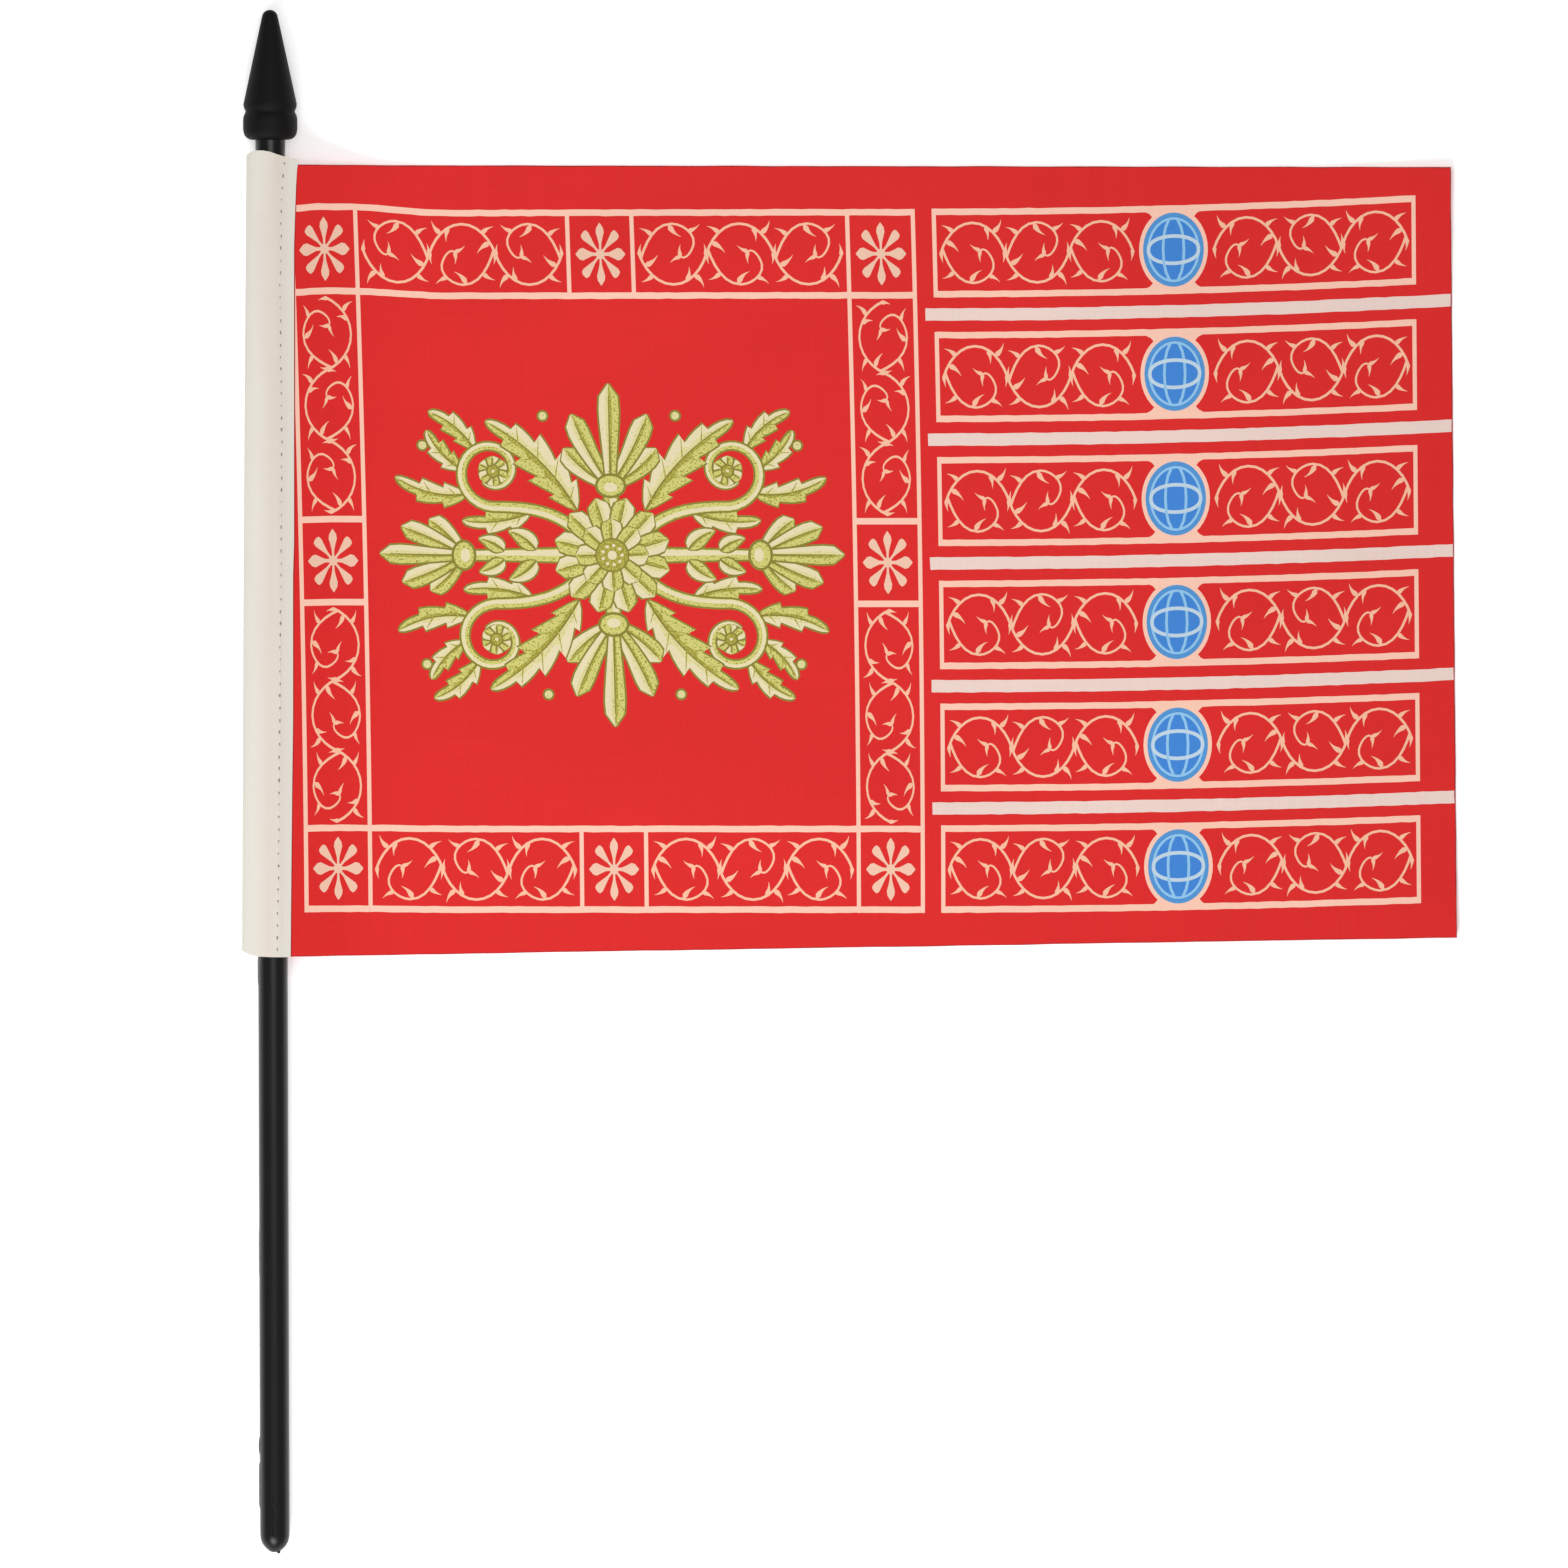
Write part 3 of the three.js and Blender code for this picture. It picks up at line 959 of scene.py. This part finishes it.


# The cloth: the bead of its hot-cut edges, a painted shadow line beside the flap, and the edges'
# wobble
MELT_WIDTH = 0.22
MELT_SHARES = (0.6, 1.2)
FLAP_SHADOW_WIDTH = 0.3
FLAP_SHADOW_GAP = 0.12
EDGE_STEP = 1.5
EDGE_WOBBLE = 0.07
WOBBLE_LENGTH = 7
WOBBLE_SEED = 8

# Plain points between the print's: rows down the cloth, and columns near the seam and further out
GRID_ROWS = 38
GRID_TOP_GAP = 1.2
GRID_FOOT_GAP = 0.5
NEAR_COLUMNS = 35
NEAR_PITCH = 0.9
FAR_COLUMNS = 61
FAR_PITCH = 3.1
MERGE_DISTANCE = 0.0005


def cloth_edge():
    """The cut outline as x and down, from the hoist's top corner along the top edge."""
    corners = (
        (CLOTH_HOIST_X, CLOTH_TOP["hoist"]),
        (CLOTH_TOP["fly_x"], CLOTH_TOP["fly"]),
        (CLOTH_FOOT["fly_x"], CLOTH_FOOT["fly"]),
        (CLOTH_HOIST_X, CLOTH_FOOT["hoist"]),
    )
    outline = []
    for index, start in enumerate(corners):
        end = corners[(index + 1) % 4]
        steps = round(math.dist(start, end) / EDGE_STEP)
        for step in range(steps):
            x = mix(start[0], end[0], step / steps)
            down = mix(start[1], end[1], step / steps)
            spot = Vector((x / WOBBLE_LENGTH, down / WOBBLE_LENGTH, WOBBLE_SEED))
            shift = EDGE_WOBBLE * noise.noise(spot)
            outline.append((x + shift, down + shift) if step else (x, down))
    return outline


def melted_edge_and_flap_shadow(edge):
    """The darker bead along the free edges, cut hot, and a dark line of painted shadow on the cloth
    beside the flap's edge.
    """
    bead = Design()
    free = edge[:-1]
    widths = [2 * MELT_WIDTH * bead.chance.uniform(*MELT_SHARES) for _ in free]
    bead.stroke("melt_and_shadow", free, widths)
    # Painted shadow: a dark line on the red cloth just beside the flap's edge, where the flap shades
    # it
    flap_shadow = [(x + FLAP_SHADOW_GAP, down) for down, x in FLAP_EDGE if down > CLOTH_TOP["hoist"]]
    bead.stroke("melt_and_shadow", flap_shadow, [FLAP_SHADOW_WIDTH] * len(flap_shadow))
    return bead.patches


def cut_regions(design):
    """The cloth as triangles in plan, each with its ink: points of x and -down, and triangles."""
    edge = cloth_edge()
    points = [Vector((x, -down)) for x, down in edge]
    outlines = [list(range(len(points)))]
    inks = ["red"]
    patches = [(ink, [lie(u, v) for u, v in outline]) for ink, outline in design.patches]
    for ink, outline in patches + melted_edge_and_flap_shadow(edge):
        placed = [Vector((x, -down)) for x, down in outline]
        turn = sum(a.x * b.y - b.x * a.y for a, b in zip(placed, placed[1:] + placed[:1]))
        first = len(points)
        order = list(range(first, first + len(placed)))
        outlines.append(order if turn > 0 else order[::-1])
        points += placed
        inks.append(ink)
    top = CLOTH_TOP["hoist"] + GRID_TOP_GAP
    foot = CLOTH_FOOT["fly"] - GRID_FOOT_GAP
    for x in grid_columns():
        for row in range(1, GRID_ROWS):
            down = mix(top, foot, row / GRID_ROWS)
            points.append(Vector((x, -down)))
    outlines[0].reverse()
    found = delaunay_2d_cdt(points, [], outlines, 1, MERGE_DISTANCE)
    kept, _, triangles, _, _, sources = found
    regions = [
        (triangle, inks[max(origin)])
        for triangle, origin in zip(triangles, sources)
        if 0 in origin
    ]
    return kept, regions


def grid_columns():
    """Columns of plain points that carry the cloth's relief, closer together on the slope."""
    near = [CLOTH_HOIST_X + NEAR_PITCH * (step + 1) for step in range(NEAR_COLUMNS)]
    return near + [near[-1] + FAR_PITCH * (step + 1) for step in range(FAR_COLUMNS)]


def build_cloth(design):
    plan, regions = cut_regions(design)
    used = sorted({corner for triangle, _ in regions for corner in triangle})
    number = {corner: index for index, corner in enumerate(used)}
    count = len(used)
    vertices = []
    for side in (1, -1):
        for corner in used:
            x, down = plan[corner].x, -plan[corner].y
            vertices.append(place(x, down, cloth_height(x, down) + side * CLOTH_THICK / 2))
    faces = []
    inks = []
    edge_ink = {}
    for triangle, ink in regions:
        a, b, c = (number[corner] for corner in triangle)
        faces.append((a, b, c))
        inks.append(ink)
        for edge in ((a, b), (b, c), (c, a)):
            edge_ink[edge] = ink
    for a, b, c in list(faces):
        faces.append((c + count, b + count, a + count))
    inks += inks
    rim_start = len(faces)
    for (a, b), ink in edge_ink.items():
        if (b, a) not in edge_ink:
            faces.append((b, a, a + count, b + count))
            inks.append(ink)
    cloth = new_piece("cloth", vertices, faces, cloth_material())
    mesh = cloth.data
    paint(mesh, inks)
    map_threads(mesh, count, rim_start, len(regions))
    for index, polygon in enumerate(mesh.polygons):
        polygon.use_smooth = index < rim_start
    return cloth


def paint(mesh, inks):
    layer = mesh.color_attributes.new("Ink", "FLOAT_COLOR", "CORNER")
    values = []
    table = {name: linear(*ink[:3])[:3] + (ink[3],) for name, ink in INKS.items()}
    for polygon, ink in zip(mesh.polygons, inks):
        values += table[ink] * polygon.loop_total
    layer.data.foreach_set("color", values)


# Where the bake map holds the cloth: across it, and down its front, its back and its rim
BAKE_ACROSS = (0.004, 0.996)
BAKE_FRONT = (0.996, 0.345)
BAKE_BACK = (0.335, 0.03)
BAKE_RIM = (0.012, 0.004)


def map_threads(mesh, count, rim_start, front):
    """Threads: millimetres along both threads. OFBake: the front over most of the map."""
    threads = mesh.uv_layers.new(name="Threads")
    bake = mesh.uv_layers.new(name="OFBake")
    low, high = CLOTH_HOIST_X, CLOTH_FOOT["fly_x"]
    top, foot = CLOTH_TOP["hoist"], CLOTH_FOOT["hoist"]
    for index, polygon in enumerate(mesh.polygons):
        for loop in polygon.loop_indices:
            corner = mesh.loops[loop].vertex_index
            co = mesh.vertices[corner].co
            x = (co.x - AXIS_X) / MM
            down = (TIP_Y - co.y) / MM
            threads.data[loop].uv = (x, down)
            across = (x - low) / (high - low)
            along = (down - top) / (foot - top)
            if index < rim_start:
                level = mix(*(BAKE_FRONT if index < front else BAKE_BACK), along)
            else:
                level = BAKE_RIM[0] if corner < count else BAKE_RIM[1]
                across = (across + along) / 2
            bake.data[loop].uv = (mix(*BAKE_ACROSS, across), level)


# The tape

TAPE_THICK = 0.28

# The middles of the flap and of the tape's under layer, over and under the CAD cloth's middle
FLAP_LIFT = 0.27
UNDER_DROP = 0.42

# The tape's section: steps of its parts, degrees round the rod, and where it closes under the cloth
TAPE_STATIONS = 150
FLAP_STEPS = 8
UNDER_STEPS = 6
WRAP_STEP = 5
WRAP_FOOT = 270
WRAP_END = 405
FLAP_EASING_END = 150
RISE_SPAN = (300, 362)
CLOSING_SPAN = (340, 405)
CLOSED_GAP = 0.2
TURN_OUT = 0.43
TURN_DEPTH = 0.1
UNDER_START = 0.35
UNDER_SHORT = 0.5
SEAM_JOIN = 0.12
WRAP_EASE = 0.1
FOLD_BOW = 0.1
SHARP_TAPE_ANGLE = math.radians(50)

# The flap's edge: down and x
FLAP_EDGE = (
    (28.1, 5.24),
    (29.4, 5.04),
    (32.7, 4.84),
    (38.4, 4.63),
    (44.1, 4.43),
    (100.7, 4.24),
    (107, 4.03),
    (135, 3.94),
    (150, 3.7),
    (170, 3.45),
    (179.9, 3.34),
)

# The cut ends: x and down
TAPE_TOP_CUT = (
    (-4.7, 27.65),
    (-4.0, 27.2),
    (-3.3, 26.9),
    (-2.5, 26.78),
    (-1.4, 26.78),
    (0, 27.03),
    (1.3, 27.5),
    (2.4, 27.85),
    (3.8, 28.08),
    (5.3, 28.42),
)
TAPE_FOOT_CUT = ((-5.95, 178.75), (-4.4, 179.4), (-2.9, 179.8), (0, 179.95), (4, 179.95))


def between(rows, value):
    """A table's second column at a value of its first."""
    for (low, a), (high, b) in zip(rows, rows[1:]):
        if value < high:
            return mix(a, b, min(max((value - low) / (high - low), 0), 1))
    return rows[-1][1]


def tape_path(share):
    """The tape's middle line in section, x and height, from the flap over the rod and back."""
    down = mix(TAPE_TOP["down"], TAPE_FOOT["down"], share)
    bow = FOLD_BOW * math.sin(math.pi * share)
    fold = mix(TAPE_TOP["fold"], TAPE_FOOT["fold"], share) - bow
    flap = between(FLAP_EDGE, down)
    height = axis_height(down)
    seam = 90 - math.degrees(SEAM_ANGLE)
    seam_x = WRAP_RADIUS * math.sin(SEAM_ANGLE)
    points = []
    for step in range(FLAP_STEPS):
        x = mix(flap, seam_x + SEAM_JOIN, step / FLAP_STEPS)
        points.append((x, cloth_middle(x, down) + FLAP_LIFT))
    half = TAPE_THICK / 2
    left = -fold - half
    below = height - half
    for degrees in range(round(seam), WRAP_END + 1, WRAP_STEP):
        cosine, sine = heading(degrees)
        if degrees > WRAP_FOOT:
            across = mix(WRAP_RADIUS, ROD_RADIUS + CLOSED_GAP, smooth(degrees, *CLOSING_SPAN))
            rise = mix(below, across, smooth(degrees, *RISE_SPAN))
        else:
            across = left if degrees > 90 else WRAP_RADIUS + FLAP_LIFT
            easing = smooth(degrees, seam, FLAP_EASING_END)
            above = mix(WRAP_RADIUS + FLAP_LIFT, WRAP_RADIUS + WRAP_EASE, easing)
            rise = above if degrees < 180 else below
        points.append((across * cosine, height + rise * sine))
    turn_x = seam_x + TURN_OUT
    points.append((turn_x, cloth_middle(turn_x, down) - UNDER_DROP - TURN_DEPTH))
    for step in range(UNDER_STEPS + 1):
        x = mix(turn_x + UNDER_START, flap - UNDER_SHORT, step / UNDER_STEPS)
        points.append((x, cloth_middle(x, down) - UNDER_DROP))
    return points


def offset_path(points, distance):
    """The path moved sideways, to the left of its direction."""
    moved = []
    for index, (x, z) in enumerate(points):
        left = sideways(points, index)
        moved.append((x + distance * left[0], z + distance * left[1]))
    return moved


def build_tape():
    vertices = []
    threads = []
    for station in range(TAPE_STATIONS + 1):
        share = station / TAPE_STATIONS
        path = tape_path(share)
        run = [0]
        for before, after in zip(path, path[1:]):
            run.append(run[-1] + math.dist(before, after))
        for side in (1, -1):
            for (x, height), across in zip(offset_path(path, -side * TAPE_THICK / 2), run):
                down = mix(between(TAPE_TOP_CUT, x), between(TAPE_FOOT_CUT, x), share)
                vertices.append(place(x, down, height))
                threads.append((across, down))
    width = len(path)
    ring = 2 * width
    faces = []
    for station in range(TAPE_STATIONS):
        for step in range(width - 1):
            a = station * ring + step
            b = a + width
            faces.append((a, a + 1, a + ring + 1, a + ring))
            faces.append((b, b + ring, b + ring + 1, b + 1))
        for a, b in ((0, width), (2 * width - 1, width - 1)):
            a += station * ring
            b += station * ring
            faces.append((a, a + ring, b + ring, b))
    for station, turn in ((0, 1), (TAPE_STATIONS, -1)):
        for step in range(width - 1):
            a = station * ring + step
            quad = (a, a + width, a + width + 1, a + 1)
            faces.append(quad if turn > 0 else quad[::-1])
    tape = new_piece("tape", vertices, faces, tape_material())
    layer = tape.data.uv_layers.new(name="Threads")
    for loop in tape.data.loops:
        layer.data[loop.index].uv = threads[loop.vertex_index]
    tape.data.set_sharp_from_angle(angle=SHARP_TAPE_ANGLE)
    return tape, run[-1]


# The stitches along the tape: x of the row by down
STITCH_LINE = (
    (29.3, 2.73),
    (32, 2.45),
    (36, 2.1),
    (45.6, 1.95),
    (53, 1.77),
    (84, 2.0),
    (153, 1.24),
    (178.6, 0.91),
)
STITCH_PITCH = 2.3

# How much holes and threads vary: shifts along and across the row, sizes, and depth as a share of
# the radius. A thread spans these shares of the way between two holes.
HOLE_SHIFT = 0.12
HOLE_SWAY = 0.07
HOLE_HALF_LONG = (0.06, 0.2)
HOLE_RADIUS = (0.15, 0.24)
HOLE_SINK = (0.4, 0.85)
THREAD_SPAN = (0.2, 0.8)
THREAD_RADIUS = 0.13
THREAD_SINK = 0.07
THREAD_COLOUR = (232, 226, 214)
# The holes' dark grey is painted shade in the needle holes
HOLE_SHADE_COLOUR = (150, 143, 135)
STITCH_SEED = 7


def tape_top(x, down):
    """Height of the tape's outer face over the rod and the flap."""
    outer = WRAP_RADIUS + FLAP_LIFT + TAPE_THICK / 2
    if x > outer * math.sin(SEAM_ANGLE):
        return cloth_middle(x, down) + FLAP_LIFT + TAPE_THICK / 2
    return axis_height(down) + math.sqrt(outer**2 - x**2)


def capsule(start, end, radius, sides=8, rings=3):
    """A round-ended bar between two points, as vertices and faces."""
    axis = (end - start).normalized()
    side = axis.orthogonal().normalized()
    other = axis.cross(side)
    vertices = [start - axis * radius]
    bends = [math.pi / 2 * ring / rings for ring in range(rings + 1)]
    rows = [(start, -math.cos(bend), math.sin(bend)) for bend in bends[1:]]
    rows += [(end, math.sin(bend), math.cos(bend)) for bend in bends[:-1]]
    for middle, ahead, out in rows:
        for step in range(sides):
            angle = 2 * math.pi * step / sides
            turn = side * math.cos(angle) + other * math.sin(angle)
            vertices.append(middle + axis * radius * ahead + turn * radius * out)
    vertices.append(end + axis * radius)
    faces = []
    for step in range(sides):
        after = (step + 1) % sides
        faces.append((0, 1 + after, 1 + step))
        for row in range(len(rows) - 1):
            a = 1 + row * sides
            faces.append((a + step, a + after, a + sides + after, a + sides + step))
        a = 1 + (len(rows) - 1) * sides
        faces.append((a + step, a + after, len(vertices) - 1))
    return vertices, faces


def build_stitches():
    """Each stitch is a short thread, and each needle hole a small sunk dent where two threads dive,
    coloured dark grey as painted shade in the hole.
    """
    rng = random.Random(STITCH_SEED)
    threads = ([], [])
    holes = ([], [])
    count = round((STITCH_LINE[-1][0] - STITCH_LINE[0][0]) / STITCH_PITCH)
    spots = []
    for index in range(count + 1):
        down = mix(STITCH_LINE[0][0], STITCH_LINE[-1][0], index / count)
        down += rng.uniform(-HOLE_SHIFT, HOLE_SHIFT)
        spots.append((between(STITCH_LINE, down) + rng.uniform(-HOLE_SWAY, HOLE_SWAY), down))
    for x, down in spots:
        half_long = rng.uniform(*HOLE_HALF_LONG)
        radius = rng.uniform(*HOLE_RADIUS)
        sink = rng.uniform(*HOLE_SINK) * radius
        ends = [place(x, down + end * half_long, tape_top(x, down) - sink) for end in (-1, 1)]
        join(holes, *capsule(*ends, radius * MM))
    for (x, down), (next_x, next_down) in zip(spots, spots[1:]):
        ends = []
        for share in THREAD_SPAN:
            at_x = mix(x, next_x, share)
            at_down = mix(down, next_down, share)
            ends.append(place(at_x, at_down, tape_top(at_x, at_down) - THREAD_SINK))
        join(threads, *capsule(*ends, THREAD_RADIUS * MM))
    thread = plain_thread_material("sewing_thread", linear(*THREAD_COLOUR), roughness=0.7)
    shadow = plain_thread_material("needle_shadow", linear(*HOLE_SHADE_COLOUR), roughness=0.9)
    return new_piece("stitches", *threads, thread), new_piece("needle_holes", *holes, shadow)


def join(whole, vertices, faces):
    first = len(whole[0])
    whole[0].extend(vertices)
    whole[1].extend([tuple(first + corner for corner in face) for face in faces])


# The stick, one moulding with the marks of its mould

NECK_PROFILE = (
    (17.8, 5.05),
    (18.35, 5.02),
    (18.75, 4.9),
    (19.15, 4.68),
    (19.4, 4.66),
    (19.75, 4.82),
    (20.2, 5.04),
    (20.8, COLLAR_RADIUS),
    (COLLAR_SHOULDER, COLLAR_RADIUS),
    (23.2, 5.07),
    (23.8, 4.88),
    (24.3, 4.48),
    (24.6, 3.95),
    (COLLAR_FOOT, 3.3),
    (24.78, 2.84),
    (26.4, 2.8),
    (27.2, ROD_RADIUS),
)
FOOT_PROFILE = (
    (3.3, ROD_RADIUS),
    (2.6, 2.68),
    (1.9, 2.47),
    (1.3, 2.13),
    (0.7, 1.6),
    (0.25, 1.05),
    (0, 0.6),
)
STICK_SIDES = 96
NOSE_STEPS = 10
RING_STEP = 0.7
SHARP_STICK_ANGLE = math.radians(40)

# Flash on the parting line towards -x: where it starts and ends, and how far it stands out
FLASH = ((180.1, 184.9, 0.1), (232, 240, 0.06), (271.7, 274.0, 0.2), (276.5, 284.0, 0.17))
FLASH_FADE = 0.5
FLASH_WIDTH = 0.16
PARTING_RIDGE = 0.05
RIDGE_WIDTH = 0.05

# The plain rod between the neck and the foot is slightly wavy. Flash is lower off it, and where
# the radius is small.
ROD_START = (25.5, 27.2)
ROD_END = (288, 291)
ROD_WAVE = 0.012
ROD_WAVE_LENGTH = 9
ROD_WAVE_ROUND = 2
FLASH_OFF_ROD = 0.5
FLASH_FULL_RADIUS = 2

# Small burrs near the foot, in a row down the rod, and the gate mark on its end
BURR_ROW = (282.5, 290.2)
BURR_X = -0.35
BURR_SWAY = 0.09
BURR_RADIUS = (0.11, 0.2)
BURR_SINK = 0.35
BURR_LENGTH = (0.3, 0.8)
BURR_PITCH = (0.7, 1.2)
BURR_SEED = 3
GATE_MARK = ((0.5, 292.5, 0.2), (0.72, 292.95, 0.1))
GATE_RADIUS = 0.34


def stick_rows():
    """Rings of the stick as down and radius, close enough for its marks."""
    cone_angle = math.atan2(CONE_BASE[1] - NOSE_RADIUS, CONE_BASE[0] - NOSE_RADIUS)
    rows = []
    for step in range(1, NOSE_STEPS + 1):
        angle = mix(math.pi / 2, cone_angle, step / NOSE_STEPS)
        rows.append((NOSE_RADIUS * (1 - math.sin(angle)), NOSE_RADIUS * math.cos(angle)))
    corners = [rows[-1], CONE_BASE, *NECK_PROFILE]
    corners += [(STICK_LENGTH - back, radius) for back, radius in FOOT_PROFILE]
    for (down, radius), (next_down, next_radius) in zip(corners, corners[1:]):
        steps = max(1, round((next_down - down) / RING_STEP))
        for step in range(1, steps + 1):
            share = step / steps
            rows.append((mix(down, next_down, share), mix(radius, next_radius, share)))
    return rows


def flash_height(down, angle):
    """How far the mould's parting line stands out at an angle round the rod, 0 being +x."""
    height = 0
    for middle in (0, math.pi):
        away = abs((angle - middle + math.pi) % (2 * math.pi) - math.pi)
        height += PARTING_RIDGE * math.exp(-((away / RIDGE_WIDTH) ** 2))
    away = abs(angle - math.pi)
    for start, end, rise in FLASH:
        within = smooth(down, start - FLASH_FADE, start) * (1 - smooth(down, end, end + FLASH_FADE))
        height += rise * within * math.exp(-((away / FLASH_WIDTH) ** 2))
    return height


def build_stick():
    fall = math.atan(STICK_FALL)
    rows = stick_rows()

    def along(x, down, rise):
        """A point of the stick, which leans down a little towards its foot."""
        lower = down * math.cos(fall) - rise * math.sin(fall)
        height = axis_height(0) + rise * math.cos(fall) - down * math.sin(fall)
        return place(x, lower, height)

    vertices = [along(0, 0, 0)]
    for down, radius in rows:
        plain_rod = smooth(down, *ROD_START) * (1 - smooth(down, *ROD_END))
        for step in range(STICK_SIDES):
            angle = 2 * math.pi * step / STICK_SIDES
            cosine = math.cos(angle)
            sine = math.sin(angle)
            flash = flash_height(down, angle) * mix(FLASH_OFF_ROD, 1, plain_rod)
            size = radius + flash * min(1, radius / FLASH_FULL_RADIUS)
            spot = (down / ROD_WAVE_LENGTH, ROD_WAVE_ROUND * cosine, ROD_WAVE_ROUND * sine)
            size += ROD_WAVE * noise.noise(Vector(spot)) * plain_rod
            vertices.append(along(size * cosine, down, size * sine))
    vertices.append(along(0, STICK_LENGTH, 0))
    faces = []
    for step in range(STICK_SIDES):
        after = (step + 1) % STICK_SIDES
        faces.append((0, 1 + step, 1 + after))
        for row in range(len(rows) - 1):
            a = 1 + row * STICK_SIDES
            b = a + STICK_SIDES
            faces.append((a + step, b + step, b + after, a + after))
        a = 1 + (len(rows) - 1) * STICK_SIDES
        faces.append((a + after, a + step, len(vertices) - 1))
    whole = (vertices, faces)
    rng = random.Random(BURR_SEED)
    down, row_end = BURR_ROW
    while down < row_end:
        radius = rng.uniform(*BURR_RADIUS)
        x = BURR_X + rng.uniform(-BURR_SWAY, BURR_SWAY)
        rise = math.sqrt(ROD_RADIUS**2 - x**2) - BURR_SINK * radius
        end = along(x, down + rng.uniform(*BURR_LENGTH), rise)
        join(whole, *capsule(along(x, down, rise), end, radius * MM))
        down += rng.uniform(*BURR_PITCH)
    gate_start, gate_end = GATE_MARK
    join(whole, *capsule(along(*gate_start), along(*gate_end), GATE_RADIUS * MM))
    satin = plastic_material("satin_plastic", roughness=0.28, specular=0.3)
    matt = plastic_material("matt_plastic", roughness=0.6, specular=0.15)
    stick = new_piece("moulded_stick", *whole, satin)
    stick.data.materials.append(matt)
    for polygon in stick.data.polygons:
        if polygon.center.y > TIP_Y - COLLAR_FOOT * MM:
            polygon.material_index = 1
    stick.data.set_sharp_from_angle(angle=SHARP_STICK_ANGLE)
    return stick


# Camera, light and floor

PIXEL = 0.19
VIEW_MIDDLE = (97.19, 147.37)
CAMERA_HEIGHT = 6000
SHARP_HEIGHT = 3.5
CAMERA_ROLL = -0.00323
PHOTO_SIDE = 1568

# The lights: name, place, what they point at, size and power
LIGHTS = (
    ("side_panel", (-0.25, -0.7, 0.6), (0, -0.02, 0), (0.5, 0.45), 6.5),
    ("top_panel", (-0.07, 0.12, 0.5), (-0.07, 0.11, 0), (0.26, 0.3), 0.95),
)
SKY_STRENGTH = 0.36
FLOOR_HALF = 3
FLOOR_GAP = 0.0001


def build_camera():
    data = bpy.data.cameras.new("camera")
    data.sensor_width = 36
    data.lens = data.sensor_width * (CAMERA_HEIGHT - SHARP_HEIGHT) / (PHOTO_SIDE * PIXEL)
    data.clip_start = 0.05
    data.clip_end = 20
    camera = bpy.data.objects.new("camera", data)
    camera.location = place(*VIEW_MIDDLE, CAMERA_HEIGHT)
    camera.rotation_euler = (0, 0, CAMERA_ROLL)
    bpy.context.scene.collection.objects.link(camera)
    bpy.context.scene.camera = camera


def area_light(name, at, target, size, power):
    data = bpy.data.lights.new(name, "AREA")
    data.shape = "RECTANGLE"
    data.size, data.size_y = size
    data.energy = power
    light = bpy.data.objects.new(name, data)
    light.location = at
    light.rotation_euler = (Vector(target) - Vector(at)).to_track_quat("-Z", "Y").to_euler()
    bpy.context.scene.collection.objects.link(light)


def build_studio():
    """A white sky, a large light from the foot's side and a small one over the tip."""
    world = bpy.data.worlds.new("studio")
    world.use_nodes = True
    world.node_tree.nodes["Background"].inputs["Color"].default_value = (1, 1, 1, 1)
    world.node_tree.nodes["Background"].inputs["Strength"].default_value = SKY_STRENGTH
    bpy.context.scene.world = world
    for light in LIGHTS:
        area_light(*light)
    bpy.context.scene.view_settings.view_transform = "Standard"


def build_floor():
    made, _, shader = new_material("floor", 1.0, specular=0.0)
    shader.inputs["Base Color"].default_value = (0.97, 0.97, 0.97, 1)
    shader.inputs["Emission Color"].default_value = (1, 1, 1, 1)
    shader.inputs["Emission Strength"].default_value = 0.3
    corners = [(FLOOR_HALF * x, FLOOR_HALF * y, 0) for x, y in ((-1, -1), (1, -1), (1, 1), (-1, 1))]
    floor = new_piece("floor", corners, [(0, 1, 2, 3)], made)
    floor.location.z = -FLOOR_GAP


build_camera()
build_studio()
build_floor()

cloth = build_cloth(whole_print())
tape, tape_width = build_tape()
stitches, needle_holes = build_stitches()
stick = build_stick()

for made, replaced, slot in (
    (cloth, "cloth_panel", "cloth"),
    (tape, "sleeve_tape", "tape"),
    (stick, "stick", "plastic"),
    (stitches, None, "tape"),
    (needle_holes, None, "tape"),
):
    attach(made, "root")
    if replaced:
        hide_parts(replaced)
